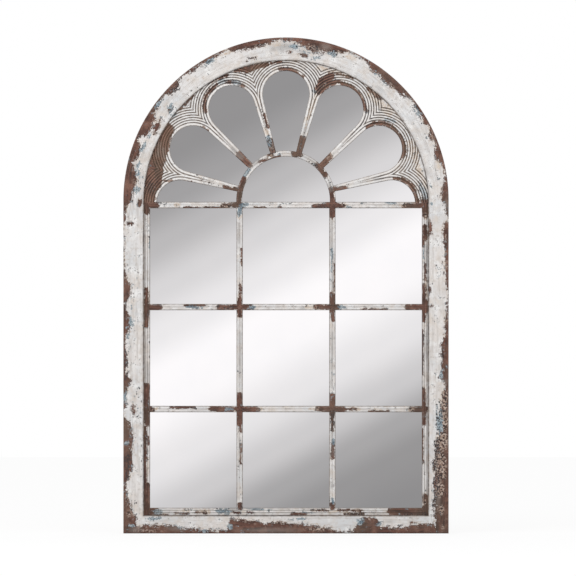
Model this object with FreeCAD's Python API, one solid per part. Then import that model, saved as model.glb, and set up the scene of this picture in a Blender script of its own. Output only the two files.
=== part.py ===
"""Arched window mirror, 1040 x 1586 mm, built like a glazed wooden window.

A round-topped frame of seven doweled lengths holds, in a rebate, a sash with a grid of glazing bars
below and a carved fan of six ribs above, one mirror sheet behind them and a back board.  Two strap
hangers with swinging D rings carry it on a wall.

Frame of the model: +Z up, the mirror looks towards -Y, origin at the middle of the bottom edge and of
the depth.  Millimetres.
"""
import FreeCAD, Part
import math
import os

V = FreeCAD.Vector

# ------------------------------------------------------------------ outline of the whole mirror
WIDTH = 1040.0                 # overall width, twice the radius of the round top
SPRING_Z = 1066.0              # height of the centre of the round top
HALF = WIDTH / 2

# inner line of the outer band: its arc has a lower centre, so the band is wider at the crown
SIGHT_HALF = 455.0
SIGHT_BOTTOM = 57.0
SIGHT_SPRING = 1057.0

# ------------------------------------------------------------------ depths, front to back
Y_FRONT = -22.5                # face of the outer band
Y_SASH = -15.0                 # face of the sash, the bars and the carving
Y_LEDGE = -8.0                 # the frame's lip ends here, and the sash lies against it
Y_GLASS = 1.0                  # face of the mirror sheet
GLASS_THICK = 4.0
BOARD_THICK = 6.0
Y_BOARD = Y_GLASS + GLASS_THICK
Y_BACK = 15.5                  # back of the frame
Y_WALL = 22.5                  # wall plane, at the back of the rubber bumpers

# ------------------------------------------------------------------ frame section
OUTER_ROUND = 6.0
COVE_WIDTH = 3.0
COVE_DEPTH = 3.0
COVE_RADIUS = 2.4
SASH_REBATE = 9.0              # behind the lip, for sash and mirror
BOARD_REBATE = 21.0            # wider, for the back board
FIT_GAP = 1.0                  # play of sash, mirror and board in their rebates
FIELD_GAP = 0.7                # between the frame's lip and what stands in the opening
ARCH_PIECE = 45.0              # degrees of arch in each arch segment

# ------------------------------------------------------------------ sash and bars
SASH_STRIP = 20.0              # sash stile that shows beside the panes
RAIL_TOP = 81.0                # top of the bottom rail
STRIP_DROP = 2.0               # the flat strip lies this far behind the beads' crests
BEAD_SLOPE = (1.5, 2.5)        # sloped side of the bead at the pane: width, depth below the strip
BEADS = ((1.5, 7.0), (8.5, 14.0))   # from the pane's edge
BAR = 20.0                     # width of every glazing bar
TRANSOM_TOP = 1060.0
PANES_ACROSS = 3
PANES_HIGH = 3
BAR_FLAT = 6.0                 # half width of a bar's face
BAR_SHOULDER = -9.5            # depth at which a bar's sides start to round over
FLUTE_HALF = 2.2
FLUTE_DEPTH = 1.4
LAP_Y = -7.0                   # half-lap plane of the crossing bars
COPE = 3.5                     # how far a bar's end reaches over the round that it is cut to
TENON_LONG = 11.0
TENON_SHORT = 7.7              # of the uprights
TENON_WIDE = 12.0
TENON_Y = (-5.5, -0.5)
RAIL_TENON_DROP = 14.0         # from the rail's top

# ------------------------------------------------------------------ fan
HUB_OUTER = 159.0
HUB_INNER = 140.5
HUB_Z = 1065.0
PETALS = 7
PETAL_STEP = 30.6              # degrees between petals
PETAL_RING = 339.0             # radius on which the round ends of the petals sit
PETAL_ROUND = 74.5
RIB_AT_HUB = 19.0              # width of a rib where it meets the hub
RIB_INNER = HUB_OUTER - COPE
RIB_OUTER = 500.0
GROOVE_FIRST = 10.0            # first carved line, from the petal's edge
GROOVE_PITCH = 8.0
GROOVES = 7
GROOVE_HALF = 2.0
GROOVE_DEPTH = 2.2
RIM_BEVEL = 3.5

# ------------------------------------------------------------------ dowels and screws
DOWEL_R = 5.0
DOWEL_HALF = 30.0
DOWEL_Y = -3.0
DOWEL_LINES = (14.0, 34.0)     # from the outer edge
CREST_DOWEL_R = 2.5
CREST_DOWEL_HALF = 14.0
CREST_DOWEL_INSET = 3.0        # from the middle of the crest's wood, towards the petal
DOWEL_PLAY = 0.05
BOARD_SCREW_LINE = 15.0        # from the sight line
BOARD_SCREW_R = 1.5
BOARD_SCREW_HEAD_R = 3.5
BOARD_SCREW_LONG = 16.0
BOARD_SCREW_HEAD = 2.0
BOARD_SCREW_SLOT = 0.5

# ------------------------------------------------------------------ hangers
HANGER_X = 498.0
RING_Z = 1040.0                # axis of the ring's hinge
STRAP_WIDE = 16.0
STRAP_LONG = 65.0
STRAP_THICK = 1.2
STRAP_BEND = 8.0               # the strap starts to rise this far below the ring's axis
STRAP_RISE = 0.35              # the strap rises by this into its barrel
STRAP_END_ROUND = 7.2
RING_WIRE = 1.9
RING_PLAY = 0.05
RING_BAR_HALF = 11.0
RING_CORNER = 3.0
RING_HALF = RING_BAR_HALF + RING_CORNER
RING_STRAIGHT = 6.0            # depth at which the bow starts
HANGER_SCREWS = (30.0, 55.0)   # below the ring's axis
HANGER_SCREW_R = 1.75
HANGER_SCREW_HEAD_R = 4.0
HANGER_SCREW_HEAD = 2.2
HANGER_SCREW_LONG = 19.0
HANGER_SCREW_SLOT = 0.6
STRAP_HOLE_R = 2.1
BUMPER_R = 9.0
BUMPER_ROUND = 1.5
BUMPER_Z = 60.0

BARREL_OUTER = RING_WIRE + RING_PLAY + STRAP_THICK
RING_Y = Y_BACK + STRAP_RISE + BARREL_OUTER


# ================================================================== helpers
def polygon(points, y=0.0):
    """Flat face through (x, z) points at depth y."""
    corners = [V(x, y, z) for x, z in points]
    return Part.Face(Part.makePolygon(corners + corners[:1]))


def arched_face(half, bottom, spring, y):
    """Face with a flat bottom, upright sides and a half-round top."""
    right = V(half, y, spring)
    left = V(-half, y, spring)
    edges = [
        Part.LineSegment(V(-half, y, bottom), V(half, y, bottom)).toShape(),
        Part.LineSegment(V(half, y, bottom), right).toShape(),
        Part.Arc(right, V(0, y, spring + half), left).toShape(),
        Part.LineSegment(left, V(-half, y, bottom)).toShape(),
    ]
    return Part.Face(Part.Wire(edges))


def arched_block(grow, y0, y1):
    """Solid inside the sight line grown by so much, from depth y0 to y1."""
    face = arched_face(SIGHT_HALF + grow, SIGHT_BOTTOM - grow, SIGHT_SPRING, y0)
    return face.extrude(V(0, y1 - y0, 0))


def box(x0, x1, y0, y1, z0, z1):
    return Part.makeBox(x1 - x0, y1 - y0, z1 - z0, V(x0, y0, z0))


def rod(radius, start, end):
    """Cylinder from one point to the other."""
    return Part.makeCylinder(radius, (end - start).Length, start, end - start)


def edges_at(solid, y):
    """Edges of a solid that lie wholly at depth y."""
    return [e for e in solid.Edges if abs(e.BoundBox.YMin - y) < 1e-6 and abs(e.BoundBox.YMax - y) < 1e-6]


def fan_point(radius, degrees, y=0.0):
    """Point at an angle from straight up, about the centre of the round top."""
    angle = math.radians(degrees)
    return V(radius * math.sin(angle), y, SPRING_Z + radius * math.cos(angle))


def mirrored(shape):
    return shape.mirror(V(0, 0, 0), V(1, 0, 0))


# ================================================================== frame
def frame_ring():
    """The whole band in one, with its front round, its cove and its two rebates."""
    block = arched_face(HALF, 0.0, SPRING_Z, Y_FRONT).extrude(V(0, Y_BACK - Y_FRONT, 0))
    block = block.makeFillet(OUTER_ROUND, edges_at(block, Y_FRONT))
    cove_bottom = Y_FRONT + COVE_DEPTH
    cove = arched_block(COVE_WIDTH, Y_FRONT - 10, cove_bottom)
    cove = cove.makeFillet(COVE_RADIUS, edges_at(cove, cove_bottom))
    ring = block.cut(cove)
    ring = ring.cut(arched_block(0.0, Y_FRONT, Y_BACK + 1))
    ring = ring.cut(arched_block(SASH_REBATE, Y_LEDGE, Y_BACK + 1))
    return ring.cut(arched_block(BOARD_REBATE, Y_BOARD, Y_BACK + 1))


def frame_joints():
    """Middle and direction of each joint's dowels: five arch joints, and the rail's two ends."""
    joints = []
    for degrees in (-90.0, -45.0, 0.0, 45.0, 90.0):
        angle = math.radians(degrees)
        along = V(math.cos(angle), 0, -math.sin(angle))
        joints += [(fan_point(HALF - depth, degrees, DOWEL_Y), along) for depth in DOWEL_LINES]
    joints += [(V(side * SIGHT_HALF, DOWEL_Y, depth), V(1, 0, 0))
               for side in (-1, 1) for depth in DOWEL_LINES]
    return joints


def frame_dowels(play=0.0):
    return [rod(DOWEL_R + play, middle - along * (DOWEL_HALF + play), middle + along * (DOWEL_HALF + play))
            for middle, along in frame_joints()]


def frame_pieces():
    """The ring sawn apart at its joints: the stiles run down to the bottom edge, the rail sits between."""
    ring = frame_ring().cut(Part.makeCompound(frame_dowels(DOWEL_PLAY)))
    ring = ring.cut(Part.makeCompound(board_screw_shanks() + hanger_screw_shanks()))
    y0, y1 = Y_FRONT - 1, Y_BACK + 1
    rail = box(-SIGHT_HALF, SIGHT_HALF, y0, y1, -1, SIGHT_BOTTOM)
    uprights = ring.cut(rail)
    stile = box(SIGHT_HALF / 2, WIDTH, y0, y1, -1, SPRING_Z)
    pieces = {
        "frame_stile_right": uprights.common(stile),
        "frame_stile_left": uprights.common(mirrored(stile)),
        "frame_bottom_rail": ring.common(rail),
    }
    for i, name in enumerate(("left_lower", "left_upper", "right_upper", "right_lower")):
        start = (i - 2) * ARCH_PIECE
        corners = [fan_point(0, 0), fan_point(WIDTH, start), fan_point(WIDTH, start + ARCH_PIECE)]
        wedge = polygon([(p.x, p.z) for p in corners], y0).extrude(V(0, y1 - y0, 0))
        pieces["frame_arch_" + name] = ring.common(wedge)
    return pieces


# ================================================================== sash
def section_solid(lines, start, direction):
    """Solid from a closed section made of straight and arc edges, pushed along direction."""
    section = Part.Face(Part.Wire(lines))
    section.translate(start)
    return section.extrude(direction)


def line(a, b):
    return Part.LineSegment(a, b).toShape()


def arc(a, b, c):
    return Part.Arc(a, b, c).toShape()


def reeded_section(place, strip, tongue):
    """Section of a sash member: two beads beside the pane, a flat strip, and a tongue behind the lip.

    place(s, y) puts a point s from the pane's edge at depth y.
    """
    low = Y_SASH + STRIP_DROP
    here = place(0, low + BEAD_SLOPE[1])
    edges = [line(place(0, Y_GLASS), here)]
    for start, end in BEADS:
        foot, rise = place(start, low), place((start + end) / 2, Y_SASH)
        edges += [line(here, foot), arc(foot, rise, place(end, low))]
        here = place(end, low)
    for there in (place(strip - FIELD_GAP, low), place(strip - FIELD_GAP, Y_LEDGE),
                  place(tongue, Y_LEDGE), place(tongue, Y_GLASS), place(0, Y_GLASS)):
        edges.append(line(here, there))
        here = there
    return edges


def bar_section(place):
    """Section of a glazing bar: rounded shoulders and a shallow flute; place(s, y) from its middle."""
    half = BAR / 2
    wide, high = half - BAR_FLAT, BAR_SHOULDER - Y_SASH
    radius = (wide * wide + high * high) / (2 * wide)
    turn = math.asin(high / radius) / 2
    mid_s, mid_y = half - radius * (1 - math.cos(turn)), BAR_SHOULDER - radius * math.sin(turn)
    p = [place(-half, Y_GLASS), place(-half, BAR_SHOULDER), place(-BAR_FLAT, Y_SASH),
         place(-FLUTE_HALF, Y_SASH), place(FLUTE_HALF, Y_SASH), place(BAR_FLAT, Y_SASH),
         place(half, BAR_SHOULDER), place(half, Y_GLASS)]
    return [line(p[0], p[1]), arc(p[1], place(-mid_s, mid_y), p[2]), line(p[2], p[3]),
            arc(p[3], place(0, Y_SASH + FLUTE_DEPTH), p[4]), line(p[4], p[5]),
            arc(p[5], place(mid_s, mid_y), p[6]), line(p[6], p[7]), line(p[7], p[0])]


OPENING_HALF = SIGHT_HALF - SASH_STRIP
TRANSOM_Z = TRANSOM_TOP - BAR / 2
PANE_WIDE = (2 * OPENING_HALF - (PANES_ACROSS - 1) * BAR) / PANES_ACROSS
PANE_HIGH = (TRANSOM_TOP - BAR - RAIL_TOP - (PANES_HIGH - 1) * BAR) / PANES_HIGH
POST_X = (PANE_WIDE + BAR) / 2
BAR_ZS = [RAIL_TOP + (i + 1) * PANE_HIGH + (i + 0.5) * BAR for i in range(PANES_HIGH - 1)]
SASH_HALF = SIGHT_HALF + SASH_REBATE - FIT_GAP
SASH_BOTTOM = SIGHT_BOTTOM - SASH_REBATE + FIT_GAP
TONGUE = SASH_REBATE - FIT_GAP


def cross_tenon(z, side):
    """Tenon of a level member that enters a sash stile."""
    ends = sorted((side * OPENING_HALF, side * (OPENING_HALF + TENON_LONG)))
    return box(ends[0], ends[1], TENON_Y[0], TENON_Y[1], z - TENON_WIDE / 2, z + TENON_WIDE / 2)


def upright_tenon(x, z, way):
    """Tenon of an upright that enters a level member at z, upwards or downwards."""
    ends = sorted((z, z + way * TENON_SHORT))
    return box(x - TENON_WIDE / 2, x + TENON_WIDE / 2, TENON_Y[0], TENON_Y[1], ends[0], ends[1])


def level_solid(section_z, half_long):
    """A bar's section pushed along X, from -half_long to half_long."""
    section = bar_section(lambda s, y: V(0, y, s))
    return section_solid(section, V(-half_long, 0, section_z), V(2 * half_long, 0, 0))


def sash_pieces():
    strip_wide = RAIL_TOP - SIGHT_BOTTOM
    section = reeded_section(lambda s, y: V(OPENING_HALF + s, y, 0), SASH_STRIP, SASH_STRIP + TONGUE)
    stile = section_solid(section, V(0, 0, SASH_BOTTOM), V(0, 0, TRANSOM_TOP - SASH_BOTTOM))
    stile = stile.cut(box(0, HALF, Y_FRONT, Y_LEDGE, 0, SIGHT_BOTTOM + FIELD_GAP))
    stiles = Part.makeCompound([stile, mirrored(stile)])
    reach = OPENING_HALF + COPE

    section = reeded_section(lambda s, y: V(0, y, RAIL_TOP - s), strip_wide, strip_wide + TONGUE)
    rail = section_solid(section, V(-reach, 0, 0), V(2 * reach, 0, 0)).cut(stiles)
    transom = level_solid(TRANSOM_Z, reach).cut(stiles)

    posts = []
    post_section = bar_section(lambda s, y: V(s, y, 0))
    for x in (-POST_X, POST_X):
        low, high = RAIL_TOP - COPE, TRANSOM_TOP - BAR + COPE
        post = section_solid(post_section, V(x, 0, low), V(0, 0, high - low))
        for z in BAR_ZS:
            post = post.cut(box(x - BAR, x + BAR, LAP_Y, Y_GLASS + 1, z - BAR / 2, z + BAR / 2))
        posts.append(post.cut(rail).cut(transom))

    laps = [box(x - BAR_FLAT, x + BAR_FLAT, Y_SASH - 1, LAP_Y, RAIL_TOP, TRANSOM_TOP)
            for x in (-POST_X, POST_X)]
    bars = [level_solid(z, reach).cut(stiles).cut(Part.makeCompound(posts)).cut(Part.makeCompound(laps))
            for z in BAR_ZS]

    level_zs = [RAIL_TOP - RAIL_TENON_DROP, TRANSOM_Z] + BAR_ZS
    cross = [cross_tenon(z, side) for z in level_zs for side in (-1, 1)]
    sockets = Part.makeCompound(cross)
    down = [upright_tenon(x, RAIL_TOP, -1) for x in (-POST_X, POST_X)]
    up = [upright_tenon(x, TRANSOM_TOP - BAR, 1) for x in (-POST_X, POST_X)]
    hub_down = [upright_tenon(x, TRANSOM_TOP, -1) for x in hub_feet()]
    level = [rail, transom] + bars
    level = [member.fuse(cross[2 * i]).fuse(cross[2 * i + 1]) for i, member in enumerate(level)]
    level[0] = level[0].cut(Part.makeCompound(down))
    level[1] = level[1].cut(Part.makeCompound(up + hub_down))
    return {
        "sash_stile_left": mirrored(stile).cut(sockets),
        "sash_stile_right": stile.cut(sockets),
        "sash_bottom_rail": level[0],
        "sash_transom": level[1],
        "muntin_bar_lower": level[2],
        "muntin_bar_upper": level[3],
        "muntin_post_left": posts[0].fuse(down[0]).fuse(up[0]),
        "muntin_post_right": posts[1].fuse(down[1]).fuse(up[1]),
    }


# ================================================================== fan
def hub_feet():
    middle = (HUB_OUTER + HUB_INNER) / 2
    return (-middle, middle)


def hub_body():
    """Half-round hoop with the bars' section, on two short feet that reach over the transom's round."""
    scale = (HUB_OUTER - HUB_INNER) / BAR
    right = hub_feet()[1]
    section = Part.Face(Part.Wire(bar_section(lambda s, y: V(right + s * scale, y, HUB_Z))))
    hoop = section.revolve(V(0, 0, HUB_Z), V(0, -1, 0), 180)
    foot = V(0, 0, TRANSOM_TOP - COPE - HUB_Z)
    leg = section.extrude(foot)
    return hoop.fuse(leg).fuse(mirrored(leg)).removeSplitter()


def petal_side():
    """(slope, tangent point) of a petal's straight side, as (along, across) its own axis."""
    half = math.radians(PETAL_STEP / 2)
    along = HUB_OUTER * math.cos(half) + RIB_AT_HUB / 2 * math.sin(half)
    across = HUB_OUTER * math.sin(half) - RIB_AT_HUB / 2 * math.cos(half)
    gap = math.hypot(PETAL_RING - along, across)
    slope = math.asin(PETAL_ROUND / gap) - math.atan2(across, PETAL_RING - along)
    tangent = (PETAL_RING - PETAL_ROUND * math.sin(slope), PETAL_ROUND * math.cos(slope))
    return slope, tangent


def half_rib():
    """Half of an upright rib about the origin, from its middle plane x = 0 to the next petal's axis.

    The petal's edge is bevelled, and the carved lines run parallel to it.
    """
    half = PETAL_STEP / 2
    slope, (tangent_u, tangent_v) = petal_side()
    turn = math.radians(half)
    axis = V(math.sin(turn), 0, math.cos(turn))
    aside = V(-math.cos(turn), 0, math.sin(turn))
    centre = axis * PETAL_RING

    def at(u, v, y=0.0):
        return axis * u + aside * v + V(0, y, 0)

    far = at(RIB_OUTER, 0)
    wedge = polygon([(0, RIB_INNER), (0, RIB_OUTER), (far.x, far.z),
                     (at(RIB_INNER, 0).x, at(RIB_INNER, 0).z)], Y_SASH)
    blank = wedge.extrude(V(0, Y_GLASS - Y_SASH, 0))

    inner_u = RIB_INNER - 20.0
    inner_v = tangent_v - (tangent_u - inner_u) * math.tan(slope)
    corners = [at(inner_u, inner_v), at(tangent_u, tangent_v), at(tangent_u, -1.0), at(inner_u, -1.0)]
    pane = polygon([(p.x, p.z) for p in corners], Y_SASH - 1).extrude(V(0, Y_GLASS - Y_SASH + 2, 0))
    eye = Part.makeCylinder(PETAL_ROUND, Y_GLASS - Y_SASH + 2, centre + V(0, Y_SASH - 1, 0), V(0, 1, 0))
    blank = blank.cut(pane.fuse(eye))

    side = axis * math.cos(slope) + aside * math.sin(slope)
    normal = aside * math.cos(slope) - axis * math.sin(slope)
    over, past = 0.5, 2.0
    tools = []
    for i in range(GROOVES + 1):
        offset = 0.0 if i == 0 else GROOVE_FIRST + (i - 1) * GROOVE_PITCH
        deep = RIM_BEVEL if i == 0 else GROOVE_DEPTH
        wide = (RIM_BEVEL if i == 0 else GROOVE_HALF) * (1 + over / deep)
        radius = PETAL_ROUND + offset
        if offset <= GROOVE_FIRST:
            foot = at(tangent_u, tangent_v, Y_SASH - over) + normal * offset
            corners = [foot - normal * wide, foot + normal * wide, foot + V(0, over + deep, 0)]
            straight = Part.Face(Part.makePolygon(corners + corners[:1]))
            tools.append(straight.extrude(side * -(tangent_u - inner_u) * 1.1))
        corners = [centre + axis * (radius - wide) + V(0, Y_SASH - over, 0),
                   centre + axis * (radius + wide) + V(0, Y_SASH - over, 0),
                   centre + axis * radius + V(0, Y_SASH + deep, 0)]
        ring = Part.Face(Part.makePolygon(corners + corners[:1]))
        ring.rotate(centre, V(0, 1, 0), past)
        tools.append(ring.revolve(centre, V(0, -1, 0), past + 90.0 + math.degrees(slope)))
    for tool in tools:
        blank = blank.cut(tool)
    return blank


def crest_dowels(play=0.0):
    """One dowel across each joint of two ribs, at the crest of a petal."""
    dowels = []
    for i in range(PETALS - 2):
        degrees = (i - (PETALS - 3) / 2) * PETAL_STEP
        angle = math.radians(degrees)
        middle = fan_point((PETAL_RING + PETAL_ROUND + SIGHT_HALF) / 2 - CREST_DOWEL_INSET, degrees,
                           (Y_LEDGE + Y_GLASS) / 2)
        along = V(math.cos(angle), 0, -math.sin(angle)) * (CREST_DOWEL_HALF + play)
        dowels.append(rod(CREST_DOWEL_R + play, middle - along, middle + along))
    return dowels


def fan_pieces(neighbours):
    """Hub arch and ribs.  neighbours are the sash solids that the ribs are cut to."""
    transom = neighbours["sash_transom"]
    hub = hub_body()
    hub = hub.cut(level_solid(TRANSOM_Z, OPENING_HALF + COPE))
    for x in hub_feet():
        hub = hub.fuse(upright_tenon(x, TRANSOM_TOP, -1))

    half = half_rib()
    upright = half.fuse(mirrored(half)).removeSplitter()
    foot_z = TRANSOM_TOP - COPE
    field = arched_face(SIGHT_HALF - FIELD_GAP, foot_z, SIGHT_SPRING, Y_SASH - 1)
    tongue = arched_face(SASH_HALF, foot_z, SIGHT_SPRING, Y_LEDGE)
    ground = field.extrude(V(0, Y_LEDGE - Y_SASH + 1, 0)).fuse(tongue.extrude(V(0, Y_GLASS - Y_LEDGE + 1, 0)))
    below = [hub, transom, neighbours["sash_stile_left"], neighbours["sash_stile_right"]]
    sockets = Part.makeCompound(crest_dowels(DOWEL_PLAY))
    pieces = {"fan_hub_arch": hub}
    ribs = PETALS - 1
    for i in range(ribs):
        rib = upright.copy()
        rib.rotate(V(0, 0, 0), V(0, 1, 0), (i - (ribs - 1) / 2) * PETAL_STEP)
        rib.translate(V(0, 0, SPRING_Z))
        rib = rib.common(ground).cut(sockets)
        for other in below:
            rib = rib.cut(other)
        pieces["fan_rib_%d" % (i + 1)] = rib
    return pieces


# ================================================================== mirror, back and fixings
def board_screw_places():
    """(x, z) of the screws round the back board."""
    line_half = SIGHT_HALF + BOARD_SCREW_LINE
    places = [(x, SIGHT_BOTTOM - BOARD_SCREW_LINE) for x in (-390.0, -130.0, 130.0, 390.0)]
    places += [(side * line_half, z) for side in (-1, 1) for z in (200.0, 500.0, 800.0)]
    for degrees in (-84.0, -56.0, -28.0, 5.0, 28.0, 56.0, 84.0):
        angle = math.radians(degrees)
        places.append((line_half * math.sin(angle), SIGHT_SPRING + line_half * math.cos(angle)))
    return places


def screw_body(radius, x, z, under_head, length):
    return rod(radius, V(x, under_head, z), V(x, under_head - length, z))


def board_screw_shanks():
    under = Y_BOARD + BOARD_THICK
    return [screw_body(BOARD_SCREW_R, x, z, under, BOARD_SCREW_LONG) for x, z in board_screw_places()]


def hanger_screw_places():
    return [(side * HANGER_X, RING_Z - drop) for side in (-1, 1) for drop in HANGER_SCREWS]


def hanger_screw_shanks():
    return [screw_body(HANGER_SCREW_R, x, z, Y_BACK + STRAP_THICK, HANGER_SCREW_LONG)
            for x, z in hanger_screw_places()]


def headed(shanks, head_r, head_high, slot):
    """Adds a round-edged head with a cross slot, slot being its half width, to each shank's back end."""
    screws = []
    for shank in shanks:
        top = shank.BoundBox
        middle = V(top.Center.x, top.YMax, top.Center.z)
        head = rod(head_r, middle, middle + V(0, head_high, 0))
        head = head.makeFillet(head_high * 0.45, edges_at(head, top.YMax + head_high))
        for dx, dz in ((head_r * 0.6, slot), (slot, head_r * 0.6)):
            head = head.cut(box(middle.x - dx, middle.x + dx, top.YMax + head_high * 0.5,
                                top.YMax + head_high + 1, middle.z - dz, middle.z + dz))
        screws.append(shank.fuse(head))
    return screws


def mirror_glass():
    return arched_block(SASH_REBATE - FIT_GAP, Y_GLASS, Y_BOARD)


def back_board():
    board = arched_block(BOARD_REBATE - FIT_GAP, Y_BOARD, Y_BOARD + BOARD_THICK)
    return board.cut(Part.makeCompound(board_screw_shanks()))


def hanger_strap(side):
    """Steel strap, curled over at the top into the barrel that holds the ring."""
    x0 = -STRAP_WIDE / 2
    bend_z = RING_Z - STRAP_BEND
    flat = box(x0, -x0, Y_BACK, Y_BACK + STRAP_THICK, RING_Z - STRAP_LONG, bend_z)
    rise = [V(x0, Y_BACK, bend_z), V(x0, Y_BACK + STRAP_THICK, bend_z),
            V(x0, Y_BACK + STRAP_RISE + STRAP_THICK, RING_Z), V(x0, Y_BACK + STRAP_RISE, RING_Z)]
    ramp = Part.Face(Part.makePolygon(rise + rise[:1])).extrude(V(STRAP_WIDE, 0, 0))
    axis_start = V(x0, RING_Y, RING_Z)
    axis_end = V(-x0, RING_Y, RING_Z)
    barrel = rod(BARREL_OUTER, axis_start, axis_end)
    bore = rod(RING_WIRE + RING_PLAY, axis_start - V(1, 0, 0), axis_end + V(1, 0, 0))
    end_corners = [e for e in flat.Edges
                   if e.BoundBox.ZMax < RING_Z - STRAP_LONG + 0.1 and e.BoundBox.YLength > STRAP_THICK / 2]
    flat = flat.makeFillet(STRAP_END_ROUND, end_corners)
    strap = flat.fuse(ramp).fuse(barrel).cut(bore)
    for drop in HANGER_SCREWS:
        strap = strap.cut(rod(STRAP_HOLE_R, V(0, Y_BACK - 1, RING_Z - drop), V(0, Y_WALL, RING_Z - drop)))
    strap.translate(V(side * HANGER_X, 0, 0))
    return strap


def hanger_ring(side):
    """D ring of round wire, hanging down from its straight bar."""
    x, bar, corner, side_x = side * HANGER_X, RING_BAR_HALF, RING_CORNER, RING_HALF
    inset = corner * (1 - math.sqrt(0.5))

    def at(dx, dz):
        return V(x + dx, RING_Y, RING_Z + dz)

    path = Part.Wire([
        line(at(-bar, 0), at(bar, 0)),
        arc(at(bar, 0), at(side_x - inset, -inset), at(side_x, -corner)),
        line(at(side_x, -corner), at(side_x, -RING_STRAIGHT)),
        arc(at(side_x, -RING_STRAIGHT), at(0, -RING_STRAIGHT - side_x), at(-side_x, -RING_STRAIGHT)),
        line(at(-side_x, -RING_STRAIGHT), at(-side_x, -corner)),
        arc(at(-side_x, -corner), at(-side_x + inset, -inset), at(-bar, 0)),
    ])
    wire = Part.Wire(Part.makeCircle(RING_WIRE, at(-bar, 0), V(1, 0, 0)))
    return path.makePipeShell([wire], True, False)


def wall_bumpers():
    pads = []
    for side in (-1, 1):
        pad = rod(BUMPER_R, V(side * HANGER_X, Y_BACK, BUMPER_Z), V(side * HANGER_X, Y_WALL, BUMPER_Z))
        pads.append(pad.makeFillet(BUMPER_ROUND, edges_at(pad, Y_WALL)))
    return pads


def build():
    nodes = frame_pieces()
    sash = sash_pieces()
    nodes.update(sash)
    nodes.update(fan_pieces(sash))
    nodes["frame_dowels"] = Part.makeCompound(frame_dowels())
    nodes["fan_dowels"] = Part.makeCompound(crest_dowels())
    nodes["mirror_glass"] = mirror_glass()
    nodes["back_board"] = back_board()
    nodes["back_board_screws"] = Part.makeCompound(
        headed(board_screw_shanks(), BOARD_SCREW_HEAD_R, BOARD_SCREW_HEAD, BOARD_SCREW_SLOT))
    for name, side in (("left", -1), ("right", 1)):
        nodes["hanger_strap_" + name] = hanger_strap(side)
        nodes["hanger_ring_" + name] = hanger_ring(side)
    nodes["hanger_screws"] = Part.makeCompound(
        headed(hanger_screw_shanks(), HANGER_SCREW_HEAD_R, HANGER_SCREW_HEAD, HANGER_SCREW_SLOT))
    nodes["wall_bumpers"] = Part.makeCompound(wall_bumpers())
    return nodes


os.makedirs("parts", exist_ok=True)
for node, shape in build().items():
    assert shape.isValid(), node
    print("%-24s solids %2d  volume %10.0f mm3" % (node, len(shape.Solids), shape.Volume))
    shape.exportStep("parts/%s.step" % node)
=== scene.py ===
"""Looks of the arched window mirror: weathered paint on moulded and carved wood, a mirror sheet, a back
board and hanging hardware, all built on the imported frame.

Metres throughout, in the frame's own axes: X to the right, Z up, and the mirror looks towards -Y.
"""

import math
from types import SimpleNamespace

import bmesh
import bpy
import numpy as np
from bpy.props import FloatProperty, FloatVectorProperty, IntProperty, PointerProperty
from mathutils import Matrix, Vector


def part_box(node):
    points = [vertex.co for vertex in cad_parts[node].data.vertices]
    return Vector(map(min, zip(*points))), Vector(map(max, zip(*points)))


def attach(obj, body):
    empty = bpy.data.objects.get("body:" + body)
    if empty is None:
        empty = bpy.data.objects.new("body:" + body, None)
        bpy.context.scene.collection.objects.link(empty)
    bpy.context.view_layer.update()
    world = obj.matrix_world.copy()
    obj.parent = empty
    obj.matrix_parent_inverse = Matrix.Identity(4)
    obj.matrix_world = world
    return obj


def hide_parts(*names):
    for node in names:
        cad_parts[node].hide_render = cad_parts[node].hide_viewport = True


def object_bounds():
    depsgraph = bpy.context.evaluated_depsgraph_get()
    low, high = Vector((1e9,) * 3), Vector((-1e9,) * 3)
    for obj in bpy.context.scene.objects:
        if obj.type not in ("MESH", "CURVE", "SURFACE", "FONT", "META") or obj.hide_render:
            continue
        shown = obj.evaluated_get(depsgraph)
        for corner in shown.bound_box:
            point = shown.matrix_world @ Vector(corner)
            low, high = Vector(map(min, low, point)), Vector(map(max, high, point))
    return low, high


bl_info = {
    "name": "Arched Window Mirror",
    "version": (1, 0, 0),
    "blender": (4, 5, 0),
    "location": "View3D > Sidebar > Window Mirror",
    "description": "Builds the looks of a distressed arched window mirror on its packed frame",
    "category": "Add Mesh",
}

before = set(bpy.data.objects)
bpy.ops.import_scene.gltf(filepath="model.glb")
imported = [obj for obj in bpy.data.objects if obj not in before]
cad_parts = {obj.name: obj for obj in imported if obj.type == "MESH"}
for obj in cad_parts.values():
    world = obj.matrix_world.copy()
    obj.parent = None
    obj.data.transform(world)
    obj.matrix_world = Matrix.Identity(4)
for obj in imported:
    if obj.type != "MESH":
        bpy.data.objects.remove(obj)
CAD_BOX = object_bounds()
MM = 0.001

FRAME_NODES = ("frame_arch_left_lower", "frame_arch_left_upper", "frame_arch_right_upper",
               "frame_arch_right_lower", "frame_stile_left", "frame_stile_right", "frame_bottom_rail")
STILE_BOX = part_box("frame_stile_right")
RAIL_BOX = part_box("frame_bottom_rail")
POST_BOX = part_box("muntin_post_right")
TRANSOM_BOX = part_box("sash_transom")
GLASS_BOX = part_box("mirror_glass")
HUB_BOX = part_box("fan_hub_arch")


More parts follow.
